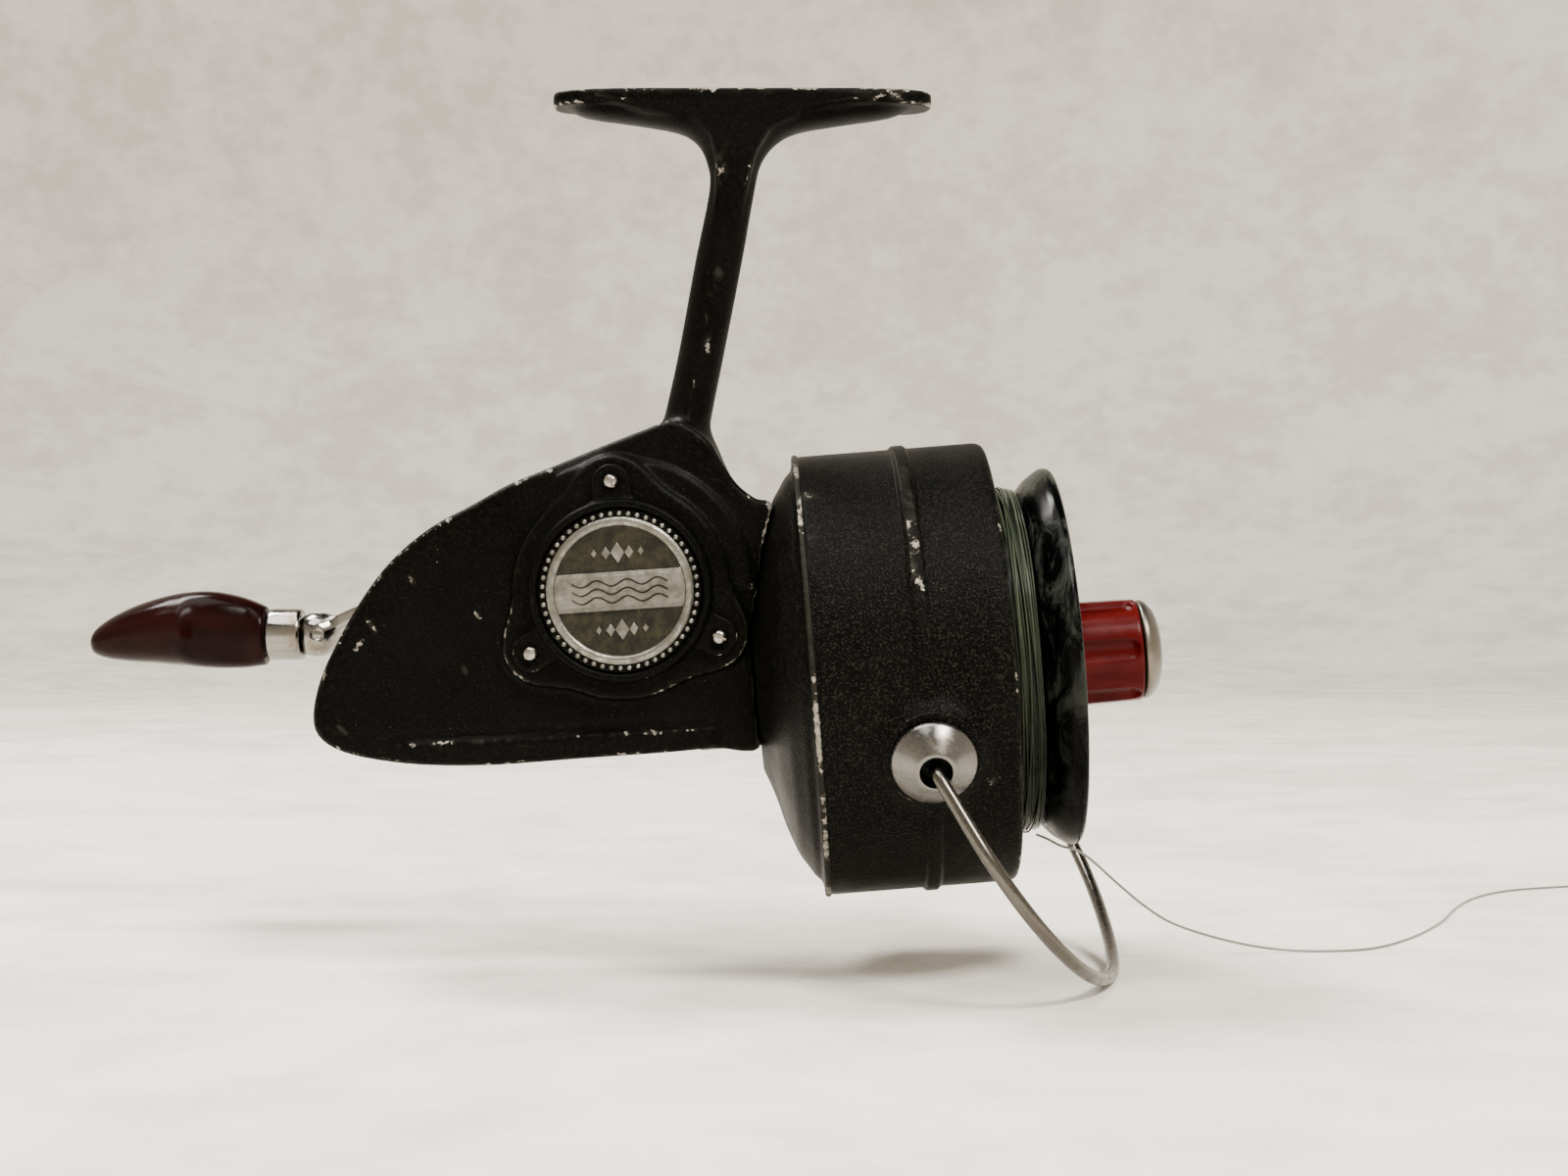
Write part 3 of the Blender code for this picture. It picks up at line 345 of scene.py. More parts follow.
MATERIALS = {
    "black_paint": enamel("casting_enamel", 2000.0, 0.06, (0.0009, 0.0009, 0.0006), 0.16, 5.0),
    "spool_black": spool_enamel(),
    "chrome": plated("polished_chrome", (0.24, 0.232, 0.21), 0.10, (1.0, 1.0, 1.0), 0.5),
    "silver": plated("bright_aluminium", (0.33, 0.31, 0.27), 0.20, (0.3, 2.0, 2.0), 0.15),
    "steel": plated("machined_steel", (0.36, 0.35, 0.33), 0.26, (0.15, 2.0, 2.0), 0.3),
    "brass": plated("machined_brass", (0.56, 0.39, 0.15), 0.25, (0.2, 2.0, 2.0), 0.35),
    "burgundy_plastic": plastic("burgundy_knob", (0.0056, 0.0012, 0.0011),
                                (0.0125, 0.0027, 0.0024), 0.14, 60.0, 0.055),
    "red_plastic": plastic("red_drag_knob", (0.050, 0.0022, 0.0022), (0.080, 0.0042, 0.0040),
                           0.12, 90.0, 0.07),
    "line_nylon": nylon("wound_nylon", (0.0006, 0.0016, 0.0008), (0.085, 0.103, 0.066), 0.0,
                        0.07),
    "fibre": pressed_fibre(),
}
BLACK = MATERIALS["black_paint"]
CHROME = MATERIALS["chrome"]
ROTOR_ENAMEL = enamel("rotor_enamel", 2700.0, 0.16, (0.0007, 0.0007, 0.0005), 0.15, 18.0)
WIRE_METAL = plated("worn_wire", (0.115, 0.106, 0.09), 0.20, (0.6, 0.6, 0.6), 0.2,
                    (0.05, 0.042, 0.033))
SATIN_CHROME = plated("satin_chrome", (0.165, 0.16, 0.148), 0.20, (1.0, 1.0, 1.0), 0.3)
BADGE_SILVER = patina("badge_relief", (0.25, 0.245, 0.22), (0.10, 0.092, 0.07), 0.26)
BADGE_GROUND = patina("badge_ground", (0.046, 0.043, 0.028), (0.008, 0.0076, 0.0045), 0.45)
CAP_METAL = plated("cap_aluminium", (0.175, 0.157, 0.127), 0.30, (0.4, 1.6, 1.6), 0.2)
CLEAR_NYLON = nylon("clear_nylon", (0.20, 0.20, 0.17), (0.42, 0.42, 0.37), 0.35, 0.5)
CORE_NYLON = nylon("packed_nylon", (0.0010, 0.0016, 0.0010), (0.003, 0.005, 0.003), 0.0, 0.1)


# ---------------------------------------------------------------- mesh building

def finish_mesh(item, matrix, angle=40.0):
    """Takes an object's mesh from millimetres in `matrix` to metres in the row frame."""
    item.data.transform(Matrix.Scale(MM, 4) @ matrix)
    item.data.shade_smooth()
    item.data.set_sharp_from_angle(angle=math.radians(angle))
    return item


def mesh_item(name, verts, faces, mat):
    mesh = bpy.data.meshes.new(name)
    mesh.from_pydata(verts, [], faces)
    mesh.materials.append(mat)
    mesh.update()
    item = bpy.data.objects.new(name, mesh)
    bpy.context.scene.collection.objects.link(item)
    return item


def stand_for(item, node):
    """The piece rides with its CAD node's body and hides the node."""
    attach(item, BODY_OF[node])
    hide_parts(node)


def join(first, *others):
    """Adds other objects' meshes to the first; all are in the same frame."""
    bm = bmesh.new()
    slots = {mat.name: i for i, mat in enumerate(first.data.materials)}
    for item in (first, *others):
        start = len(bm.faces)
        bm.from_mesh(item.data)
        bm.faces.ensure_lookup_table()
        for mat in item.data.materials:
            if mat.name not in slots:
                slots[mat.name] = len(first.data.materials)
                first.data.materials.append(mat)
        index = [slots[mat.name] for mat in item.data.materials]
        for face in bm.faces[start:]:
            face.material_index = index[face.material_index]
    bm.to_mesh(first.data)
    bm.free()
    for item in others:
        bpy.data.objects.remove(item)
    return first


def combine(target, others, operation):
    """Applies exact booleans and removes the tools."""
    for other in others:
        mod = target.modifiers.new(other.name, "BOOLEAN")
        mod.solver = "EXACT"
        mod.operation = operation
        mod.object = other
    bpy.context.view_layer.update()
    graph = bpy.context.evaluated_depsgraph_get()
    made = bpy.data.meshes.new_from_object(target.evaluated_get(graph), depsgraph=graph)
    target.modifiers.clear()
    old = target.data
    target.data = made
    bpy.data.meshes.remove(old)
    for other in others:
        bpy.data.objects.remove(other)
    return target


def skin(rings, closed_path=False, caps=True):
    """Vertices and faces over rings of equal point counts."""
    count = len(rings[0])
    verts = [tuple(point) for ring in rings for point in ring]
    faces = []
    for k in range(len(rings) if closed_path else len(rings) - 1):
        low = k * count
        high = (k + 1) % len(rings) * count
        for i in range(count):
            j = (i + 1) % count
            faces.append((low + i, low + j, high + j, high + i))
    if caps and not closed_path:
        faces.append(tuple(reversed(range(count))))
        faces.append(tuple(range((len(rings) - 1) * count, len(rings) * count)))
    return verts, faces


def rounded(points, closed, steps):
    """Rounds a profile's corners: each point is (along, radius, corner radius)."""
    result = []
    count = len(points)
    for i, point in enumerate(points):
        here = Vector(point[:2])
        bend = point[2] if len(point) > 2 else 0.0
        if bend == 0.0 or (not closed and i in (0, count - 1)):
            result.append(tuple(here))
            continue
        before = Vector(points[i - 1][:2]) - here
        after = Vector(points[(i + 1) % count][:2]) - here
        cut = min(bend, 0.48 * before.length, 0.48 * after.length)
        start = here + before.normalized() * cut
        end = here + after.normalized() * cut
        for k in range(steps + 1):
            t = k / steps
            result.append(tuple(start * (1 - t) ** 2 + here * (2 * t * (1 - t)) + end * t ** 2))
    return result


def outward(item):
    bm = bmesh.new()
    bm.from_mesh(item.data)
    bmesh.ops.recalc_face_normals(bm, faces=bm.faces[:])
    bm.to_mesh(item.data)
    bm.free()
    return item


def circle(count, radius=1.0):
    """Points of a circle in a plane, from the first axis on."""
    turns = [2 * math.pi * i / count for i in range(count)]
    return [(radius * math.cos(a), radius * math.sin(a)) for a in turns]


def turned(name, profile, mat, segments=96, steps=4, solid=False):
    """Turns a rounded (along, radius, corner) profile about X; a solid one is closed on X."""
    rings = [[(along, y, z) for y, z in circle(segments, max(radius, 0.0005))]
             for along, radius in rounded(profile, not solid, steps)]
    return outward(mesh_item(name, *skin(rings, closed_path=not solid), mat))


def slot_tool(low, high, mat):
    """Box between two corners, to cut a screw's slot with."""
    verts = [(x, y, z) for x in (low[0], high[0]) for y in (low[1], high[1])
             for z in (low[2], high[2])]
    return outward(mesh_item("slot", verts, [(0, 1, 3, 2), (4, 6, 7, 5), (0, 4, 5, 1),
                                             (2, 3, 7, 6), (0, 2, 6, 4), (1, 5, 7, 3)], mat))


def spline(points, per_span, closed=False):
    """Catmull-Rom curve through points of any dimension, as an array."""
    data = np.array(points, dtype=float)
    count = len(data)
    result = []
    spans = count if closed else count - 1
    for i in range(spans):
        if closed:
            a, b, c, d = (data[(i + k - 1) % count] for k in range(4))
        else:
            a, b, c, d = (data[min(max(i + k - 1, 0), count - 1)] for k in range(4))
        for j in range(per_span):
            t = j / per_span
            result.append(0.5 * (2 * b + (c - a) * t + (2 * a - 5 * b + 4 * c - d) * t ** 2
                                 + (3 * b - a - 3 * c + d) * t ** 3))
    if not closed:
        result.append(data[-1])
    return np.array(result)


def swept(name, path, radius, sides, mat):
    """Round tube along a path, with a twist-free section."""
    points = [Vector(p) for p in path]
    last = len(points) - 1
    rings = []
    up = None
    for i, point in enumerate(points):
        along = (points[min(i + 1, last)] - points[max(i - 1, 0)]).normalized()
        up = along.orthogonal() if up is None else up
        up = (up - along * up.dot(along)).normalized()
        side = along.cross(up)
        rings.append([point + up * a + side * b for a, b in circle(sides, radius)])
    return mesh_item(name, *skin(rings), mat)


def coords_mm(mesh):
    co = np.zeros(len(mesh.vertices) * 3)
    mesh.vertices.foreach_get("co", co)
    return co.reshape(-1, 3) / MM


def store(item, name, values):
    layer = item.data.attributes.get(name) or item.data.attributes.new(name, "FLOAT", "POINT")
    layer.data.foreach_set("value", np.asarray(values, np.float32))


def mark_edges(item, gain, rounds=2):
    """Stores how convex the surface is at each vertex as the attribute `edge`, 0 to 1."""
    mesh = item.data
    count = len(mesh.vertices)
    co = coords_mm(mesh)
    normal = np.zeros(count * 3, np.float32)
    mesh.vertex_normals.foreach_get("vector", normal)
    normal = normal.reshape(-1, 3)
    pair = np.zeros(len(mesh.edges) * 2, np.int32)
    mesh.edges.foreach_get("vertices", pair)
    a, b = pair.reshape(-1, 2).T
    step = co[b] - co[a]
    length = np.maximum((step ** 2).sum(1), 1e-6)
    hits = np.maximum(np.bincount(a, minlength=count) + np.bincount(b, minlength=count), 1)
    total = np.bincount(a, -2 * (normal[a] * step).sum(1) / length, count)
    total += np.bincount(b, 2 * (normal[b] * step).sum(1) / length, count)
    value = total / hits
    for _ in range(rounds):
        near = np.bincount(a, value[b], count) + np.bincount(b, value[a], count)
        value = 0.5 * value + 0.5 * near / hits
    store(item, "edge", np.clip(value * gain, 0, 1))


def wear_spots(item, places):
    """Raises `edge` round chosen points: (point in the row frame, radius, amount)."""
    co = coords_mm(item.data)
    value = np.zeros(len(co), np.float32)
    item.data.attributes["edge"].data.foreach_get("value", value)
    for point, radius, amount in places:
        far = ((co - np.array(point)) ** 2).sum(1) / radius ** 2
        value = np.maximum(value, amount * np.exp(-far))
    store(item, "edge", value)


# ---------------------------------------------------------------- distance fields

def soft_min(a, b, reach):
    blend = np.maximum(reach - np.abs(a - b), 0.0) / reach
    return np.minimum(a, b) - blend * blend * reach * 0.25


def slab(plane, across, half, corner):
    """A plane shape's distance given a thickness, with its rims rounded."""
    u = plane + corner
    v = np.abs(across) - half + corner
    inner = np.minimum(np.maximum(u, v), 0.0)
    return inner + np.hypot(np.maximum(u, 0.0), np.maximum(v, 0.0)) - corner


def meet(*fields):
    """The space inside all the fields."""
    result = fields[0]
    for field in fields[1:]:
        result = np.maximum(result, field)
    return result


def cut(body, *holes):
    return meet(body, *(-hole for hole in holes))


def between(value, low, high):
    return np.maximum(low - value, value - high)


def off_crank(x, z):
    return np.hypot(x - CRANK.x, z - CRANK.z)


def step_up(value, low, high):
    t = np.clip((value - low) / (high - low), 0.0, 1.0)
    return t * t * (3 - 2 * t)


def polygon(x, z, points):
    """Signed distance to a closed outline; below zero inside."""
    best = np.full(np.broadcast(x, z).shape, 1e9)
    inside = np.zeros(best.shape, bool)
    last = points[-1]
    for point in points:
        ex, ez = point[0] - last[0], point[1] - last[1]
        px, pz = x - last[0], z - last[1]
        t = np.clip((px * ex + pz * ez) / max(ex * ex + ez * ez, 1e-12), 0.0, 1.0)
        best = np.minimum(best, (px - ex * t) ** 2 + (pz - ez * t) ** 2)
        if point[1] != last[1]:
            crosses = (z >= last[1]) != (z >= point[1])
            at = last[0] + (z - last[1]) * ex / (point[1] - last[1])
            inside ^= crosses & (x < at)
        last = point
    return np.where(inside, -1.0, 1.0) * np.sqrt(best)


def segment(x, z, start, end, radius):
    """Distance to a round-ended bar in a plane."""
    ex, ez = end[0] - start[0], end[1] - start[1]
    px, pz = x - start[0], z - start[1]
    t = np.clip((px * ex + pz * ez) / (ex * ex + ez * ez), 0.0, 1.0)
    return np.hypot(px - ex * t, pz - ez * t) - radius


def net(name, field, low, high, step, mat, matrix=ROW, angle=50.0):
    """Meshes a field's zero surface with one vertex in each cell that it crosses."""
    axes = [np.arange(low[i] - 2 * step, high[i] + 3 * step, step) for i in range(3)]
    size = [len(axis) for axis in axes]
    x, y, z = np.meshgrid(*axes, indexing="ij", sparse=True)
    value = np.broadcast_to(field(x, y, z), size).astype(np.float32)
    inside = value < 0
    corners = [(i, j, k) for i in (0, 1) for j in (0, 1) for k in (0, 1)]
    filled = np.zeros([n - 1 for n in size], np.int8)
    for i, j, k in corners:
        filled += inside[i:size[0] - 1 + i, j:size[1] - 1 + j, k:size[2] - 1 + k]
    active = (filled > 0) & (filled < 8)
    cells = np.argwhere(active)
    number = np.full(active.shape, -1, np.int64)
    number[active] = np.arange(len(cells))
    samples = [value[tuple((cells + c).T)] for c in corners]
    total = np.zeros((len(cells), 3))
    hits = np.zeros(len(cells))
    for m, first in enumerate(corners):
        for n, second in enumerate(corners):
            if n <= m or sum(abs(p - q) for p, q in zip(first, second)) != 1:
                continue
            cross = (samples[m] < 0) != (samples[n] < 0)
            gap = np.where(cross, samples[m] - samples[n], 1.0)
            t = np.where(cross, samples[m] / gap, 0.0)
            spot = np.array(first) + t[:, None] * (np.array(second) - np.array(first))
            total += spot * cross[:, None]
            hits += cross
    origin = np.array([axis[0] for axis in axes])
    verts = origin + step * (cells + total / hits[:, None])
    quads = []
    for a in range(3):
        u, v = (a + 1) % 3, (a + 2) % 3
        first = [slice(1, -1)] * 3
        first[a] = slice(0, -1)
        second = list(first)
        second[a] = slice(1, None)
        change = inside[tuple(first)] != inside[tuple(second)]
        spots_at = np.argwhere(change)
        solid_first = inside[tuple(first)][change]
        spots_at[:, u] += 1
        spots_at[:, v] += 1
        ring = []
        for du, dv in ((-1, -1), (0, -1), (0, 0), (-1, 0)):
            at = spots_at.copy()
            at[:, u] += du
            at[:, v] += dv
            ring.append(number[tuple(at.T)])
        quad = np.stack(ring, 1)
        quad[~solid_first] = quad[~solid_first][:, ::-1]
        quads.append(quad)
    faces = np.concatenate(quads)
    item = mesh_item(name, verts.tolist(), faces.tolist(), mat)
    return finish_mesh(item, matrix, angle)


def shaft_coords(x, y, z):
    """Row coordinates as distance along the shaft and from its axis."""
    dx, dz = x - SHAFT_ORIGIN.x, z - SHAFT_ORIGIN.z
    along = dx * SHAFT_AXIS.x + dz * SHAFT_AXIS.z
    above = dz * SHAFT_AXIS.x - dx * SHAFT_AXIS.z
    return along, np.hypot(y, above)


# ---------------------------------------------------------------- loose line

def loose_line():
    """Free end of the line: off the winding, over the spool's lip and along the surface."""
    lie = FLOOR_Z + 0.25
    route = [(55.1, 0.0, -138.75), (57.2, 0.1, -139.6), (59.8, 0.3, -140.95),
             (62.0, 0.7, -141.5), (63.9, 1.2, -142.4), (66.5, 2.2, -144.4), (70.9, 4.2, -148.4),
             (76.9, 7.2, -153.4), (83.1, 10.4, -157.2), (93.3, 14.8, -160.8),
             (103.3, 17.2, -162.9), (112.9, 17.6, lie),
             (123.5, 21.0, lie), (135.5, 36.0, lie), (147.0, 57.0, lie), (156.0, 78.0, lie),
             (165.5, 96.0, lie), (177.0, 109.0, lie), (191.0, 116.0, lie), (206.0, 121.0, lie)]
    points = spline(route, 4) * MM
    curve = bpy.data.curves.new("free_line", "CURVE")
    curve.dimensions = "3D"
    curve.bevel_depth = LOOSE_LINE_RADIUS * MM
    curve.bevel_resolution = 4
    curve.use_fill_caps = True
    strand = curve.splines.new("POLY")
    strand.points.add(len(points) - 1)
    for slot, point in zip(strand.points, points):
        slot.co = (*point, 1.0)
    curve.materials.append(CLEAR_NYLON)
    item = bpy.data.objects.new("free_line", curve)
    bpy.context.scene.collection.objects.link(item)
    stand_for(item, "loose_line")


# ---------------------------------------------------------------- stage

def stage():
    """Floor disc that rises into a bowl all round, far outside the reel."""
    profile = [(0.02, 0.0), (0.6, 0.0), (1.3, 0.0), (1.5, 0.02), (1.75, 0.12), (1.95, 0.32),
               (2.08, 0.62), (2.15, 1.1), (2.15, 1.9)]
    steps = 48
    rings = [[(x, y, FLOOR_Z * MM + height) for x, y in circle(steps, radius)]
             for radius, height in profile]
    verts, faces = skin(rings, caps=False)
    faces.append(tuple(reversed(range(steps))))
    item = outward(mesh_item("backdrop", verts, faces, felt()))
    item.data.flip_normals()
    item.data.shade_smooth()


# ---------------------------------------------------------------- housing

def lobed(x, z, radius, ear_radius, ear_distance, join_reach):
    """Plane distance of a disc with an ear towards each cover screw."""
    plane = off_crank(x, z) - radius
    for ear in EARS:
        toward = Vector((ear.x - CRANK.x, ear.z - CRANK.z)).normalized()
        tip = (CRANK.x + toward.x * ear_distance, CRANK.z + toward.y * ear_distance)
        lug = segment(x, z, (CRANK.x, CRANK.z), tip, ear_radius)
        plane = soft_min(plane, lug, join_reach)
    return plane


# The body's side view, from its lower front corner up, back and round: (x, z).
BODY_SIDE = [(3.9, -121.2), (3.2, -108.0), (4.0, -92.0), (5.4, -83.6), (5.6, -77.2),
             (2.6, -76.2), (-0.8, -73.5), (-3.6, -69.4), (-6.2, -65.3), (-12.0, -62.0),
             (-18.1, -63.9), (-24.3, -66.3), (-35.0, -70.7), (-42.2, -73.6), (-48.6, -77.2),
             (-56.5, -81.5), (-63.6, -87.5), (-69.0, -94.6), (-73.4, -102.3), (-76.6, -109.5),
             (-77.8, -116.4), (-76.0, -120.3), (-70.5, -122.9), (-60.0, -124.5), (-45.8, -124.7),
             (-27.9, -123.4), (-13.6, -122.4), (-5.0, -121.6)]
# Half the hollow in the body's front that the rotor turns in: (along the shaft, radius).
ROTOR_ROOM = [(-10.5, -5.0), (-10.5, 17.4), (-8.6, 22.2), (-7.1, 28.2), (-5.0, 33.7),
              (-3.5, 36.0), (-2.4, 38.0), (6.0, 40.0), (6.0, -5.0)]
# The leg from the body up: (height, rear edge, front edge, half width).
LEG_SECTIONS = [(-84.0, -21.0, -1.0, 9.0), (-80.0, -20.0, -2.0, 9.0),
                (-70.0, -16.8, -4.2, 8.4), (-63.0, -15.2, -5.9, 7.4), (-59.0, -14.3, -5.5, 6.6),
                (-48.0, -11.9, -3.3, 5.6), (-31.0, -8.8, 0.0, 5.0), (-18.0, -6.2, 2.3, 4.8),
                (-13.0, -6.6, 3.5, 5.0), (-9.4, -8.4, 6.2, 5.4), (-7.2, -12.0, 10.2, 6.4),
                (-5.7, -20.0, 18.5, 6.6), (-4.3, -29.5, 27.5, 6.6), (-2.4, -32.5, 31.5, 6.4),
                (-1.6, -32.5, 31.5, 6.2)]


def leg_field(x, y, z):
    """Leg and foot web: a rounded slab of their side view, ridged along its middle."""
    heights, rear, front, halves = zip(*LEG_SECTIONS)
    left = spline(list(zip(rear, heights)), 3)
    right = spline(list(zip(front, heights)), 3)
    plane = polygon(x, z, [*right, *left[::-1]])
    half = np.interp(z, heights, halves)
    reach = np.interp(z, [-70.0, -50.0, -12.0, -5.0], [9.0, 6.2, 6.0, 5.0])
    u = np.maximum(plane + reach, 0.0)
    flat = np.sqrt((u / reach) ** 2 + (y / half) ** 2) + 1e-6
    slope = np.sqrt((u / reach ** 2) ** 2 + (y / half ** 2) ** 2) + 1e-4
    return (flat - 1.0) * flat / slope


def foot_field(x, y, z):
    """Foot plate with the gusset that runs from its edges down into the leg."""
    outline = [(35.4 * math.copysign(abs(c) ** 0.45, c), 7.5 * math.copysign(abs(s) ** 0.62, s))
               for c, s in circle(72)]
    plate = slab(polygon(x, y, outline), z + 1.35, 1.35, 0.6)
    edge = [(-28.0, -1.0), (-25.0, -2.4), (-18.0, -4.3), (-9.8, -5.1), (-5.9, -8.0),
            (-4.9, -12.5), (-4.9, -19.0), (-6.2, -30.0), (-2.0, -30.0), (0.9, -18.0), (2.6, -11.5),
            (5.6, -6.8), (11.6, -4.4), (23.0, -2.8), (27.5, -1.0)]
    half = np.interp(z, [-30.0, -12.0, -8.0, -4.0, -1.0], [3.4, 5.0, 6.2, 7.15, 7.4])
    gusset = slab(polygon(x, z, edge), y, half, 0.7)
    foot = soft_min(plate, gusset, 0.5)
    rear_line = [(-29.0, -3.0), (-24.0, -4.2), (-18.0, -5.5), (-9.8, -6.2), (-6.9, -9.0),
                 (-6.0, -13.5)]
    front_line = [(28.0, -3.6), (23.0, -4.1), (11.6, -5.6), (6.8, -7.8), (4.0, -12.0)]
    groove = 1e9
    for line in (rear_line, front_line):
        for start, end in zip(line, line[1:]):
            groove = np.minimum(groove, segment(x, z, start, end, 0.0))
    return foot, np.hypot(groove, np.abs(y) - 7.6) - 1.9


def ledge_height(x):
    """Height of the casting's lower ledge at a place along the body."""
    return -120.5 + (x + 57.9) * 0.0525


def body_field(x, y, z):
    plane = polygon(x, z, spline(BODY_SIDE, 4, True))
    crown = 0.5 * (1.0 - np.clip(-plane, 0.0, 8.0) / 8.0) ** 2
    below = ledge_height(x) - z
    reach = step_up(x, -64.0, -58.0) * (1.0 - step_up(x, -6.0, -3.5))
    raised = 0.65 * step_up(below, -0.35, 0.35)
    hollow = 0.55 * np.exp(-((below + 0.9) / 0.6) ** 2)
    proud = (raised - hollow) * reach * (y < 0)
    return slab(plane, y, BODY_HALF - crown + proud, 1.1)


def mound_field(x, y, z):
    """Raised seat of the side cover and the lower step round its upper front."""
    top = slab(lobed(x, z, 19.7, 6.6, 18.0, 5.0), y - MOUND_Y - 3.1, 3.1, 0.8)
    limit = polygon(x, z, [(2.4, -93.0), *BODY_SIDE[4:11], (-30.0, -64.0), (-42.0, -93.0)])
    arc = np.maximum(off_crank(x, z) - 23.9, limit * 0.9)
    step = slab(arc, y + BODY_HALF - 2.0, 2.95, 0.9)
    return top, step


def housing_field(x, y, z):
    body = body_field(x, y, z)
    top, step = mound_field(x, y, z)
    body = soft_min(soft_min(body, step, 1.2), top, 1.3)
    from_crank = off_crank(x, z)
    cone = (from_crank - (11.5 - 0.42 * (y - BODY_HALF))) * 0.92
    boss = meet(cone, between(y, BODY_HALF - 6.0, BODY_HALF + 7.0))
    body = soft_min(body, boss, 2.6)
    along, radius = shaft_coords(x, y, z)
    body = cut(body, polygon(along, radius, ROTOR_ROOM))
    body = np.minimum(body, meet(radius - 12.4, between(along, -22.0, -4.7)))
    foot, groove = foot_field(x, y, z)
    stem = soft_min(leg_field(x, y, z), foot, 0.8)
    stem = -soft_min(-stem, groove, 0.6)
    body = meet(soft_min(body, stem, 2.6), z)
    pocket = polygon(x, z, [(-14.5, -118.4), (-14.5, -76.0), (-24.0, -71.8), (-36.0, -76.0),
                            (-48.0, -81.5), (-57.0, -88.0), (-64.0, -97.0), (-66.5, -104.0),
                            (-66.5, -119.0), (-45.0, -121.2)])
    lever_hole = np.hypot(x - LEVER.x, z - LEVER.z) - 1.8
    ears = [meet(np.hypot(x - ear.x, z - ear.z) - SCREW_HOLE, y + 13.5) for ear in EARS]
    return cut(body, meet(pocket, np.abs(y) - 12.6), meet(from_crank - 15.2, y - 8.6),
               meet(from_crank - 6.0, 5.0 - y), meet(radius - 10.0, between(along, -11.5, 0.5)),
               meet(radius - 5.2, between(along, -34.0, -9.0)), meet(lever_hole, 5.0 - y), *ears)


def housing():
    item = net("housing_casting", housing_field, (-78.5, -19.0, -125.5), (36.0, 23.0, 0.3),
               0.58, BLACK)
    mark_edges(item, 1.5)
    rng = np.random.default_rng(21)
    near = -BODY_HALF
    worn = []
    for i, (x, z) in enumerate(spline(BODY_SIDE, 5, True)):
        if i / 5 >= 21.5:
            worn.append(((x, near + 0.3, z), 1.2, rng.uniform(0.6, 1.25)))
        elif i / 5 > 10.2:
            worn.append(((x, near + 0.3, z), 1.4, rng.uniform(0.75, 1.15)))
    for k in range(44):
        x = -62.0 + 1.25 * k
        worn.append(((x, near - 0.4, ledge_height(x) - 0.3), 0.9, rng.uniform(0.3, 1.15)))
    scratches = [((-67.6, -98.4), (-66.2, -100.4)), ((-69.8, -103.6), (-68.6, -102.0)),
                 ((-72.9, -117.6), (-71.6, -118.9)), ((-54.5, -121.9), (-50.5, -122.0)),
                 ((-40.4, -121.0), (-38.4, -121.1)), ((-60.0, -90.5), (-59.4, -91.6)),
                 ((-48.0, -97.2), (-47.4, -97.9)), ((-50.2, -107.0), (-49.9, -107.8))]
    for start, end in scratches:
        worn += [((x, near, z), 0.7, 1.15) for x, z in np.linspace(start, end, 5)]
    for k in range(34):
        z = -9.0 - 1.2 * k
        ease = 1.0 if z > -22 or -38 < z < -32 or -49 < z < -45 else 0.45
        x = -3.4 + 0.075 * (z + 10.0)
        worn.append(((x + rng.uniform(-0.8, 0.8), -4.9, z), 1.0, ease * rng.uniform(0.5, 1.25)))
    worn += [((-4.4, -4.9, -12.5), 1.2, 1.1), ((-4.2, -5.0, -34.0), 1.3, 1.3),
             ((-6.6, -5.4, -47.5), 1.1, 1.0), ((1.6, -5.0, -14.0), 1.0, 0.9),
             ((24.5, -7.0, -2.6), 1.2, 1.0), ((28.6, -6.6, -1.4), 1.8, 1.05),
             ((22.0, -7.2, -3.2), 0.9, 0.9), ((-28.6, -6.6, -1.8), 1.0, 0.9)]
    for k in range(60):
        worn.append(((-34.0 + 1.15 * k, -7.3, -0.6), 1.5, rng.uniform(0.45, 0.8)))
    wear_spots(item, worn)
    stand_for(item, "housing")


def cover_field(x, y, z):
    out = y - MOUND_Y
    reach = off_crank(x, z)
    flat = slab(lobed(x, z, 16.6, 3.5, 19.4, 1.6), out + 1.0, 0.7, 0.4)
    rim = slab(np.abs(reach - 15.65) - 0.72, out + 1.8, 1.15, 0.4)
    body = soft_min(flat, rim, 0.8)
    body = np.minimum(body, slab(reach - 14.8, out - 1.8, 2.78, 0.4))
    for ear in EARS:
        at = np.hypot(x - ear.x, z - ear.z)
        body = cut(body, at - SCREW_HOLE, meet(at - 2.1, out + 1.45))
    return body


def cover():
    item = net("cover_casting", cover_field, (-42.5, -21.0, -113.0), (-0.5, -13.0, -69.0), 0.34,
               BLACK)
    mark_edges(item, 0.6)
    wear_spots(item, [((CRANK.x + x, MOUND_Y - 2.9, CRANK.z + z), 1.2, 0.35)
                      for x, z in circle(40, 16.2)])
    stand_for(item, "side_cover")


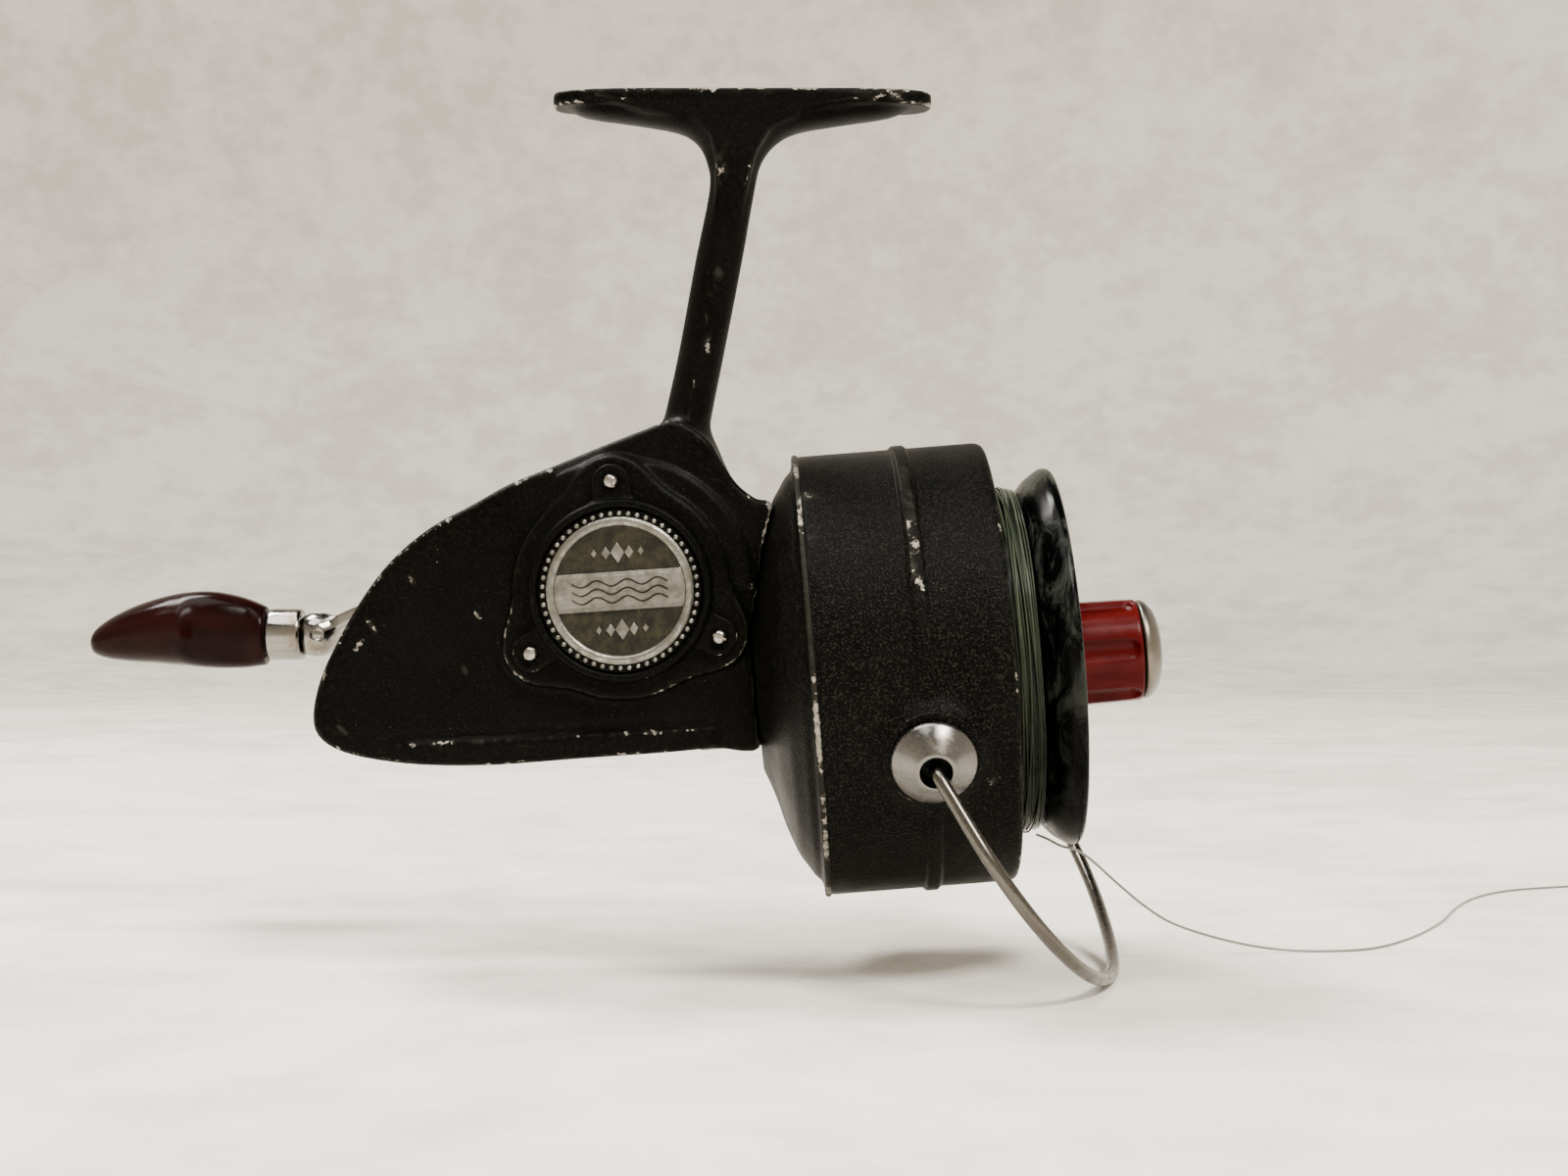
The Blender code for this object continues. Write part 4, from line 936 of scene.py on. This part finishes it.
def medallion():
    """Disc with a ring of beads, a bright ring, a rippled band and rows of lozenges."""
    profile = [(2.0, 0.0), (2.0, 14.6, 0.1), (2.72, 14.6, 0.15), (2.72, 14.45, 0.1),
               (2.5, 14.4, 0.1), (2.5, 13.4, 0.15), (2.72, 13.2, 0.15), (3.0, 12.7, 0.3),
               (3.0, 12.2, 0.3), (2.72, 11.75, 0.15), (2.45, 11.6, 0.15), (2.45, 11.0), (2.5, 0.0)]
    base = turned("medallion", profile, BADGE_SILVER, 144, 4, True)
    base.data.materials.append(BADGE_GROUND)
    base.data.materials.append(BLACK)
    for face in base.data.polygons:
        reach = math.hypot(face.center.y, face.center.z)
        if face.center.x > 2.3 and reach < 11.7:
            face.material_index = 1
        elif reach > 13.25:
            face.material_index = 2

    relief = []
    rings = []
    for out, inset in ((2.3, 0.0), (2.78, 0.0), (2.9, 0.12), (2.9, 0.5), (2.82, 0.62),
                       (2.82, 0.75)):
        ring = []
        wide = 11.75 - 0.6 * inset
        for side in (1, -1):
            for k in range(13):
                level = side * (3.45 - inset) * (k / 6 - 1)
                ring.append((out, side * math.sqrt(wide ** 2 - level ** 2), level))
        rings.append(ring)
    relief.append(outward(mesh_item("band", *skin(rings), BADGE_SILVER)))
    bead_side = [(0.0, 0.0), (0.0, 0.5), (0.2, 0.47), (0.38, 0.33), (0.48, 0.12), (0.5, 0.0)]
    for y, z in circle(BEADS, 13.9):
        bead = turned("bead", bead_side, BADGE_SILVER, 10, 1, True)
        bead.data.transform(Matrix.Translation((2.46, y, z)))
        relief.append(bead)
    for side in (1, -1):
        for across, size in ((-4.2, 0.55), (-2.1, 0.8), (0.0, 1.25), (2.1, 0.8), (4.2, 0.55)):
            rings = [[(out, across + y, side * 6.9 + 1.5 * z) for y, z in circle(4, size * share)]
                     for out, share in ((2.3, 1.0), (2.7, 1.0), (2.8, 0.8))]
            relief.append(outward(mesh_item("lozenge", *skin(rings), BADGE_SILVER)))
    for level in (-1.5, 0.0, 1.5):
        line = [(2.84, y, level + 0.55 * math.sin(y * 1.15)) for y in np.linspace(-8.6, 8.6, 61)]
        relief.append(outward(swept("ripple", line, 0.17, 6, BADGE_GROUND)))
    finish_mesh(join(base, *relief), COVER_FRAME, 35)
    stand_for(base, "badge")


def cover_screws():
    dome = [(-3.6, 0.0), (-3.6, 0.85), (1.62, 0.85), (1.62, 1.3, 0.05), (2.1, 1.32, 0.15),
            (2.55, 1.12, 0.3), (2.85, 0.7, 0.3), (2.95, 0.0)]
    for name, ear, slot_turn in zip(("top", "rear", "front"), EARS, (0.5, -0.7, 1.2)):
        screw = turned("cover_screw_head_" + name, dome, MATERIALS["silver"], 40, 4, True)
        tool = slot_tool((2.35, -0.2, -2.0), (4.0, 0.2, 2.0), MATERIALS["silver"])
        tool.data.transform(Matrix.Rotation(slot_turn, 4, "X"))
        combine(screw, [tool], "DIFFERENCE")
        at = basis(Vector((ear.x, MOUND_Y, ear.z)), Vector((0, -1, 0)), Vector((1, 0, 0)),
                   Vector((0, 0, 1)))
        stand_for(finish_mesh(screw, at, 35), "cover_screw_" + name)


# ---------------------------------------------------------------- crank and handle

def crank_arm_field(x, y, z):
    """Crank arm that steps outward between its hub and its ball-shaped knuckle."""
    route = spline([(-3.0, 28.7, 0.0), (-12.0, 29.6, 0.2), (-22.0, 35.0, 0.2),
                    (-34.0, 46.5, -0.4), (-46.0, 58.9, -1.6), (-56.0, 66.0, -3.2),
                    (-64.0, 70.6, -5.6), (-69.3, 73.2, -8.0)], 3) + (CRANK.x, 0.0, 0.0)
    best = np.full(np.broadcast(x, y).shape, 1e9)
    middle = np.zeros(best.shape)
    share = np.zeros(best.shape)
    for i, ((ax, ay, az), (bx, by, bz)) in enumerate(zip(route, route[1:])):
        ex, ey = bx - ax, by - ay
        t = np.clip(((x - ax) * ex + (y - ay) * ey) / (ex * ex + ey * ey), 0.0, 1.0)
        far = np.hypot(x - ax - ex * t, y - ay - ey * t)
        near = far < best
        best = np.where(near, far, best)
        middle = np.where(near, az + (bz - az) * t, middle)
        share = np.where(near, (i + t) / (len(route) - 1), share)
    half_height = 5.2 - 3.5 * np.minimum(1.0, share / 0.6)
    bar = slab(best - 1.85, z - CRANK.z - middle, half_height, 0.7)
    from_crank = off_crank(x, z)
    whole = soft_min(bar, slab(from_crank - 8.4, y - 28.7, 3.05, 0.9), 2.5)
    px, py, pz = x - KNUCKLE.x, y - KNUCKLE.y, z - KNUCKLE.z
    whole = soft_min(whole, np.sqrt(px ** 2 + py ** 2 + pz ** 2) - 5.05, 2.4)
    room = meet(between(px, -9.0, 3.1), between(py, -3.1, 9.0), np.abs(pz) - 2.2)
    pin_hole = np.hypot(px, py) - 1.25
    dimple = np.hypot(px - 0.6, pz - 0.2)
    whole = cut(whole, room, pin_hole, meet(dimple - 1.25, py + 4.35))
    whole = np.minimum(whole, meet(dimple - 0.85, between(py, -4.6, -3.2)))
    return cut(whole, from_crank - 3.8)


def tongue_field(x, y, z):
    px, py, pz = x - KNUCKLE.x, y - KNUCKLE.y, z - KNUCKLE.z
    round_end = np.hypot(px, py) - 2.65
    stem = meet(np.abs(py) - 2.55, between(px, -7.2, -1.0))
    tongue = slab(soft_min(round_end, stem, 0.6), pz, 1.88, 0.35)
    return cut(tongue, np.hypot(px, py) - 1.25)


def knob_field(x, y, z):
    """Paddle-shaped knob: a plump nose, a step, and a flatter barrel to the ferrule."""
    along = x - KNUCKLE.x
    stations = [(-49.6, 1.2, 0.9), (-49.2, 2.2, 1.7), (-48.0, 4.2, 3.0), (-44.9, 5.8, 4.6),
                (-39.6, 7.3, 6.2), (-33.4, 8.6, 7.4), (-28.2, 8.9, 8.1), (-22.5, 8.5, 8.4),
                (-16.5, 7.2, 7.8), (-11.7, 5.9, 6.6), (-10.9, 5.2, 6.1)]
    smooth = spline(stations, 4)
    half_y = np.interp(along, smooth[:, 0], smooth[:, 1])
    half_z = np.interp(along, smooth[:, 0], smooth[:, 2])
    share = np.clip((-10.9 - along) / 38.3, 0.0, 1.0)
    drop = -0.2 + 2.2 * np.sin(math.pi * share) - 1.5 * share
    py, pz = y - KNUCKLE.y, z - KNUCKLE.z - drop
    grip = step_up(along, -29.5, -24.5) * (1 - step_up(along, -15.0, -11.0))
    crease = 0.35 * np.exp(-((along + 28.4) / 1.5) ** 2)
    half_y = half_y + crease - np.where(py < 0, 1.5, 0.3) * grip
    power = 2.0 + 0.55 * grip
    flat = ((np.abs(py) / half_y) ** power + (np.abs(pz) / half_z) ** power) ** (1 / power)
    flat = flat + 1e-6
    slope = np.sqrt((py / half_y ** 2) ** 2 + (pz / half_z ** 2) ** 2) / flat + 1e-4
    body = meet((flat - 1.0) / slope * 0.85, between(along, -49.2, -10.95))
    spindle = np.hypot(py, z - KNUCKLE.z) - 2.1
    return cut(body, meet(spindle, -40.6 - along))


def crank_and_handle():
    arm = net("crank_lever", crank_arm_field, (-100.0, 25.0, -111.0), (-12.5, 79.0, -84.0), 0.42,
              CHROME)
    stand_for(arm, "crank_arm")
    nut = turned("crank_cap_nut", [(32.1, 2.7), (32.1, 6.8, 0.3), (33.2, 7.0, 0.5),
                                   (36.0, 6.5, 1.5), (37.7, 4.4, 0.8), (37.9, 2.7)],
                 CHROME, 72)
    for vertex in nut.data.vertices:
        reach = math.hypot(vertex.co.y, vertex.co.z)
        if reach > 5.0:
            knurl = 1 - 0.012 * (1 + math.cos(30 * math.atan2(vertex.co.z, vertex.co.y)))
            vertex.co.y *= knurl
            vertex.co.z *= knurl
    stand_for(finish_mesh(nut, CRANK_FRAME, 30), "crank_nut")

    stem_frame = Matrix.Translation(KNUCKLE)
    cup = turned("ferrule_barrel", [(-40.0, 0.0), (-40.0, 1.8, 0.2), (-10.55, 1.8),
                                    (-10.55, 5.1, 0.2), (-10.1, 5.7, 0.3), (-8.6, 5.75, 1.0),
                                    (-3.7, 5.7, 0.5), (-3.15, 5.4, 0.2), (-3.1, 4.5, 0.1),
                                    (-3.8, 3.9), (-4.5, 3.05), (-5.05, 2.0), (-5.45, 0.0)],
                 CHROME, 96, 5, True)
    finish_mesh(cup, stem_frame, 35)
    tongue = net("tongue", tongue_field, tuple(KNUCKLE - Vector((7.6, 2.9, 2.1))),
                 tuple(KNUCKLE + Vector((2.9, 2.9, 2.1))), 0.25, CHROME)
    stand_for(join(cup, tongue), "knob_ferrule")

    knob = net("paddle_knob", knob_field, tuple(KNUCKLE + Vector((-49.6, -9.2, -9.5))),
               tuple(KNUCKLE + Vector((-10.8, 9.2, 10.5))), 0.36, MATERIALS["burgundy_plastic"])
    stand_for(knob, "handle_knob")


def lever_field(x, y, z):
    px, pz = x - LEVER.x, z - LEVER.z
    plane = polygon(px, pz, [(-3.0, 2.4), (-3.6, -0.4), (-2.2, -3.0), (0.4, -3.6), (3.4, -2.6),
                             (9.0, -2.0), (13.4, -1.8), (14.4, 0.2), (13.2, 2.0), (8.6, 1.8),
                             (3.2, 2.6), (0.2, 3.6)])
    arm = slab(plane, y - BODY_HALF - 1.4, 0.98, 0.35)
    pin = meet(np.hypot(px, pz) - 1.5, between(y, 5.1, BODY_HALF + 2.9))
    ribs = meet(np.abs(pz) - 1.4, np.abs(px - 11.8) - 1.6)
    groove = np.sin(px * 2 * math.pi / 0.9) * 0.25 + y - BODY_HALF - 2.2
    arm = np.where(ribs < 0, np.maximum(arm, groove * 0.5), arm)
    return np.minimum(arm, pin)


def lever():
    item = net("stop_lever", lever_field, (LEVER.x - 4, 4.8, LEVER.z - 4),
               (LEVER.x + 15, BODY_HALF + 3.2, LEVER.z + 4), 0.25, MATERIALS["silver"])
    stand_for(item, "anti_reverse_lever")


# ---------------------------------------------------------------- rotor

def boss(name, side, top, post_end):
    """Bail pivot boss whose flared foot follows the rotor's round wall."""
    shaft_way = BAIL.to_3x3().inverted() @ SHAFT_AXIS
    flare = [(12.8, -1.8, 1.0), (12.8, -0.15, 1.0), (11.8, 0.03, 1.0), (10.9, 0.22, 1.0),
             (10.1, 0.52, 0.95), (9.5, 0.9, 0.8), (9.0, 1.35, 0.5), (8.7, 1.75, 0.25),
             (8.45, 2.05, 0.0)]
    rings = []
    for reach, height, follow in flare:
        ring = []
        for y, z in circle(96, reach):
            spot = Vector((0, y, z))
            off = spot.length_squared - spot.dot(shaft_way) ** 2
            wall = math.sqrt(ROTOR_RADIUS ** 2 - off)
            level = wall * follow + ROTOR_RADIUS * (1 - follow) + min(height, top - 41.3)
            ring.append((side * level, spot.y, spot.z))
        rings.append(ring)
    for out, reach in ((top - 0.25, 8.3), (top - 0.05, 8.0), (top, 7.7), (top, 2.5),
                       (post_end - 0.3, 2.5), (post_end, 2.2)):
        rings.append([(side * out, y, z) for y, z in circle(96, reach)])
    item = outward(mesh_item(name, *skin(rings), ROTOR_ENAMEL))
    item.data.transform(SHAFT.inverted() @ BAIL)
    return item


def rotor():
    profile = [(-10.0, 13.0), (-10.0, 16.9, 0.4), (-8.1, 21.9, 4.0), (-6.6, 27.9, 5.0),
               (-4.5, 33.3, 4.0), (-3.0, 35.5, 1.5), (-1.9, 37.3, 1.2), (-0.8, 38.3, 0.5),
               (-0.45, 39.6, 0.3), (-0.4, 41.0, 0.3), (-0.1, 41.35, 0.2), (0.55, 41.35, 0.2),
               (0.8, 40.9, 0.2), (1.3, 41.0, 0.2), (9.0, 41.0), (17.7, 41.0, 0.3),
               (18.3, 41.65, 0.35), (20.4, 41.65, 0.35), (21.0, 41.0, 0.3), (28.0, 41.0),
               (33.9, 41.0, 0.8), (34.9, 40.5, 0.5), (35.1, 39.7, 0.3), (35.0, 39.0, 0.3),
               (34.2, 38.9), (2.6, 38.9, 1.2), (-0.4, 35.2, 2.0), (-4.4, 25.0, 3.0),
               (-5.0, 18.5, 2.0), (-1.5, 14.6, 1.0), (-1.5, 9.0), (8.1, 9.0, 0.4), (8.1, 4.7),
               (-4.4, 4.7), (-4.4, 13.0)]
    cup = turned("rotor_shell", profile, ROTOR_ENAMEL, 200, 5)
    combine(cup, [boss("boss_near", 1, 43.3, 46.3), boss("boss_far", -1, 43.6, 53.3)], "UNION")
    finish_mesh(cup, SHAFT, 38)
    mark_edges(cup, 0.8, 1)

    def on_wall(along, turn, radius):
        """Point on the rotor's near side, `turn` radians round from the top."""
        return SHAFT @ Vector((along, -radius * math.sin(turn), radius * math.cos(turn)))

    worn = []
    rng = np.random.default_rng(8)
    for i in range(190):
        a = math.radians(5 + 0.9 * i)
        worn.append((on_wall(0.2, a, 41.3), 0.75, rng.uniform(0.9, 1.5)))
        if i % 2:
            worn.append((on_wall(34.7, a, 40.6), 0.7, rng.uniform(0.4, 1.3)))
    for i in range(44):
        rib = on_wall(19.35 + rng.uniform(-0.4, 0.4), math.radians(26 + i), 41.7)
        worn.append((rib, 1.0, rng.uniform(0.8, 1.6)))
    for along, angle, radius, amount in ((1.6, 37, 2.2, 1.0), (1.8, 52, 1.6, 0.9),
                                         (29, 64, 1.6, 0.75), (27, 74, 1.5, 0.8),
                                         (17, 97, 1.3, 0.75), (10, 99, 1.2, 0.7),
                                         (26.5, 106, 1.2, 0.7), (30, 118, 2.2, 0.85),
                                         (24, 57, 1.5, 0.6), (20.5, 102, 2.5, 0.6)):
        worn.append((on_wall(along, math.radians(angle), ROTOR_RADIUS), radius, amount))
    wear_spots(cup, worn)
    to_bail = BAIL.inverted()
    for vertex, value in zip(cup.data.vertices, cup.data.attributes["edge"].data):
        under_nut = abs((to_bail @ (vertex.co / MM)).x) > HIDDEN_BY_BAIL_NUT
        if under_nut:
            value.value = 0.0
    stand_for(cup, "rotor_cup")


# ---------------------------------------------------------------- bail

def bail_arm_field(x, y, z):
    """Flat arm of the bail's far side, sunk along its middle."""
    outline = [(-7.0, -4.2), (-3.4, -6.9), (3.4, -6.9), (7.0, -4.2), (7.2, 2.0), (5.4, 12.0),
               (4.4, 22.0), (4.2, 27.0), (2.8, 30.2), (-2.8, 30.2), (-4.2, 27.0), (-4.4, 22.0),
               (-5.4, 12.0), (-7.2, 2.0)]
    plate = slab(polygon(y, z, spline(outline, 3, True)), x + 48.75, 1.44, 0.6)
    sunk = meet(polygon(y, z, outline) + 2.2, between(z, 9.0, 21.0), x + 49.7)
    return cut(plate, sunk, np.hypot(y, z) - 2.8, np.hypot(y, z - ROLLER_REACH) - 1.5)


def bail():
    to_roller = Matrix.Translation((0, 0, ROLLER_REACH))
    loop = [(46.9, 0.15), (48.7, 0.5), (50.4, 1.9), (52.9, 5.1), (56.0, 9.0), (59.0, 13.2),
            (60.9, 17.6), (61.9, 22.6), (61.7, 28.2), (60.0, 34.2), (56.5, 40.6), (50.6, 47.2),
            (42.0, 53.4), (31.0, 58.8), (19.0, 61.8), (7.0, 63.0), (-6.0, 62.9), (-18.0, 61.0),
            (-28.0, 57.2), (-36.0, 51.4), (-41.4, 43.8), (-43.2, 36.4), (-42.6, 30.4)]
    path = [(p, 0.0, b) for p, b in spline(loop, 8)]
    wire = outward(swept("bail_loop", path, BAIL_WIRE_RADIUS, 28, WIRE_METAL))
    eye = turned("eye", [(-43.9, 1.5, 0.2), (-43.9, 3.6, 0.5), (-41.3, 3.6, 0.5),
                         (-41.3, 1.5, 0.2)], WIRE_METAL, 56)
    bore = turned("bore", [(-46.0, 0.0), (-46.0, 1.5), (-39.0, 1.5), (-39.0, 0.0)],
                  WIRE_METAL, 40, 1, True)
    for item in (eye, bore):
        item.data.transform(to_roller)
    combine(wire, [eye], "UNION")
    combine(wire, [bore], "DIFFERENCE")
    stand_for(finish_mesh(wire, BAIL, 35), "bail_wire")

    near = turned("bail_cap_near", [(43.7, 2.85), (43.7, 7.2, 0.3), (44.3, 7.5, 0.4),
                                    (45.0, 7.35, 0.6), (46.7, 5.9, 3.0), (48.1, 4.25, 1.5),
                                    (48.8, 3.4, 0.4), (48.9, 2.85)], SATIN_CHROME, 96, 6)
    # The cutter carries black enamel, so the inner wall of the hole it leaves in the nut is
    # painted black as painted shade.
    room = swept("room", [(46.2, 0.0, 0.0), (48.3, 0.0, 0.3), (50.0, 0.0, 1.5), (53, 0.0, 5.0)],
                 1.72, 40, BLACK)
    combine(near, [outward(room)], "DIFFERENCE")
    stand_for(finish_mesh(near, BAIL, 30), "bail_nut_near")

    arm = net("bail_plate", bail_arm_field, (-50.4, -7.6, -7.2), (-47.0, 7.6, 30.6), 0.3,
              CHROME, BAIL)
    stand_for(arm, "bail_arm")
    far = turned("bail_cap_far", [(-50.5, 2.8), (-50.5, 7.3, 0.3), (-51.3, 7.5, 0.4),
                                  (-53.2, 6.2, 2.0), (-54.4, 4.0, 0.6), (-54.8, 2.8)],
                 CHROME, 72)
    stand_for(finish_mesh(far, BAIL, 30), "bail_nut_far")
    screw = turned("roller_pin", [(-52.0, 0.0), (-52.0, 1.9, 0.2), (-51.4, 2.8, 0.4),
                                  (-50.5, 2.9), (-50.5, 1.2), (-40.9, 1.2, 0.2), (-40.9, 0.0)],
                   MATERIALS["steel"], 48, 4, True)
    combine(screw, [slot_tool((-53.0, -0.3, -3.5), (-51.4, 0.3, 3.5), MATERIALS["steel"])],
            "DIFFERENCE")
    screw.data.transform(to_roller)
    stand_for(finish_mesh(screw, BAIL, 30), "roller_screw")
    roller = turned("line_guide_roller", [(-47.0, 1.5), (-47.0, 3.35, 0.2), (-46.7, 3.5, 0.2),
                                          (-46.2, 3.3, 0.5), (-45.6, 2.9, 0.6), (-45.0, 3.3, 0.5),
                                          (-44.5, 3.5, 0.2), (-44.2, 3.35, 0.2), (-44.2, 1.5)],
                    CHROME, 64)
    roller.data.transform(to_roller)
    stand_for(finish_mesh(roller, BAIL, 30), "line_roller")


# ---------------------------------------------------------------- spool, line and drag

def strands(name, rows, sides, steps, mat):
    """Closed strands round the shaft; each row is (along, radius, tone, waves)."""
    turn = np.linspace(0, 2 * math.pi, steps, endpoint=False)
    section = np.linspace(0, 2 * math.pi, sides, endpoint=False)
    verts, faces, tones_with_painted_shade = [], [], []
    index = np.arange(steps * sides).reshape(steps, sides)
    quad = np.stack([index, np.roll(index, -1, 1), np.roll(np.roll(index, -1, 0), -1, 1),
                     np.roll(index, -1, 0)], -1).reshape(-1, 4)
    for number, (along, radius, tone, waves) in enumerate(rows):
        drift = along + sum(w * np.sin(k * turn + phase) for k, w, phase in waves)
        lift = radius + 0.05 * np.sin(3 * turn + 5 * tone) + 0.04 * np.sin(7 * turn + 9 * tone)
        x = drift[:, None] + STRAND_RADIUS * np.cos(section)[None]
        r = lift[:, None] + STRAND_RADIUS * np.sin(section)[None]
        y = r * np.cos(turn)[:, None]
        z = r * np.sin(turn)[:, None]
        verts.append(np.stack([x, y, z], -1).reshape(-1, 3))
        faces.append(quad + number * steps * sides)
        # Painted shade: each strand's stored tone darkens towards the winding's underside.
        painted_shade = np.interp(np.sin(turn), (-0.7, 0.0, 0.75), (0.12, 0.5, 1.0))
        tones_with_painted_shade.append(np.repeat(tone * painted_shade, sides))
    item = mesh_item(name, np.concatenate(verts).tolist(), np.concatenate(faces).tolist(), mat)
    outward(item)
    store(item, "tone", np.concatenate(tones_with_painted_shade))
    return item


def winding():
    rng = np.random.default_rng(11)
    core = turned("line_core", [(23.8, 21.3), (23.8, 31.4, 0.4), (24.4, 31.9, 0.4),
                                (32.0, 32.1, 4.0), (39.6, 31.8, 0.4), (40.35, 31.0, 0.4),
                                (40.3, 21.3)], CORE_NYLON, 128)
    rows = []
    for k in range(LEVEL_STRANDS):
        share = k / (LEVEL_STRANDS - 1)
        along = 24.15 + 15.8 * share + rng.uniform(-0.08, 0.08)
        crown = 0.25 * math.sin(math.pi * share)
        waves = [(m, rng.uniform(0.02, 0.2), rng.uniform(0, 6.28)) for m in (1, 2, 3, 5)]
        rows.append((along, 31.72 + crown + rng.uniform(-0.2, 0.16),
                     rng.uniform(0.0, 1.0) ** 2.6, waves))
    for k in range(CROSSING_STRANDS):
        along = rng.uniform(26.5, 37.5)
        waves = [(1, rng.uniform(0.6, 1.7), rng.uniform(0, 6.28)),
                 (2, rng.uniform(0.1, 0.5), rng.uniform(0, 6.28))]
        rows.append((along, 32.08 + rng.uniform(0.0, 0.34), rng.uniform(0.0, 1.0) ** 0.8, waves))
    coils = strands("line_coils", rows, 6, 150, MATERIALS["line_nylon"])
    store(core, "tone", np.zeros(len(core.data.vertices)))
    stand_for(finish_mesh(join(coils, core), SHAFT, 80), "line_winding")


def spool():
    profile = [(21.4, 3.4), (21.4, 37.0, 0.4), (21.7, 37.6, 0.3), (23.2, 37.6, 0.3),
               (23.5, 37.0, 0.3), (23.5, 21.0, 0.3), (40.6, 21.0, 0.3), (40.85, 31.2, 0.5),
               (42.6, 33.3, 1.0), (44.3, 34.45, 0.6), (45.2, 35.05, 0.5), (46.2, 35.35, 0.6),
               (47.05, 35.15, 0.5), (47.45, 34.5, 0.4), (47.3, 33.75, 0.4), (46.5, 33.0, 0.7),
               (45.6, 31.4, 1.5), (44.6, 28.6, 2.0), (44.1, 24.0, 1.5), (43.9, 21.5, 0.3),
               (43.6, 21.2, 0.2), (43.6, 20.6, 0.2), (43.95, 20.3, 0.3), (44.1, 18.0, 0.5),
               (44.75, 17.1, 0.4), (44.75, 15.6, 0.3), (44.5, 15.2, 0.1), (30.0, 15.2),
               (30.0, 3.4)]
    item = turned("spool_body", profile, MATERIALS["spool_black"], 200, 5)
    finish_mesh(item, SHAFT, 38)
    mark_edges(item, 0.8, 1)
    stand_for(item, "spool")


def drag_field(x, y, z):
    """Drag knob with six round-ended finger flutes and a hollow for its spring."""
    radius = np.hypot(y, z)
    side = 9.85 - 0.02 * np.maximum(x - 45.4, 0.0)
    body = slab(radius - side, x - 53.2, 8.32, 0.3)
    body = cut(body, radius - 3.4)
    for i in range(FLUTES):
        a = math.radians(360 / FLUTES * i - 3.4)
        out = y * math.cos(a) + z * math.sin(a)
        across = z * math.cos(a) - y * math.sin(a)
        beyond = np.maximum(x - 58.9, 0.0)
        groove = np.sqrt(across ** 2 + (out - 11.2) ** 2 + beyond ** 2) - 2.7
        body = -soft_min(-body, groove, 0.15)
    return cut(body, meet(radius - 6.8, x - 50.0))


def drag():
    knob = net("drag_grip", drag_field, (44.7, -10.1, -10.1), (61.7, 10.1, 10.1), 0.25,
               MATERIALS["red_plastic"], SHAFT, 40)
    stand_for(knob, "drag_knob")
    cap = turned("drag_cap", [(61.8, 0.0), (61.8, 9.0, 0.2), (62.2, 9.3, 0.3), (63.1, 9.1, 0.5),
                              (64.6, 7.6, 1.5), (65.45, 5.1, 1.5), (65.75, 2.2, 1.0),
                              (65.6, 1.2, 0.2), (65.6, 0.0)], CAP_METAL, 96, 5, True)
    stand_for(finish_mesh(cap, SHAFT, 35), "drag_knob_cap")


# ---------------------------------------------------------------- all of it

def dress_cad_nodes():
    """The CAD nodes that stay on show take the finish of their material slot."""
    for name, slot in SLOT_OF.items():
        for item in bpy.data.objects:
            if item.type == "MESH" and item.name == name and not item.hide_render:
                item.data.materials.clear()
                item.data.materials.append(MATERIALS[slot])


camera()
loose_line()
lights()
stage()
housing()
cover()
medallion()
cover_screws()
crank_and_handle()
lever()
rotor()
bail()
winding()
spool()
drag()
dress_cad_nodes()
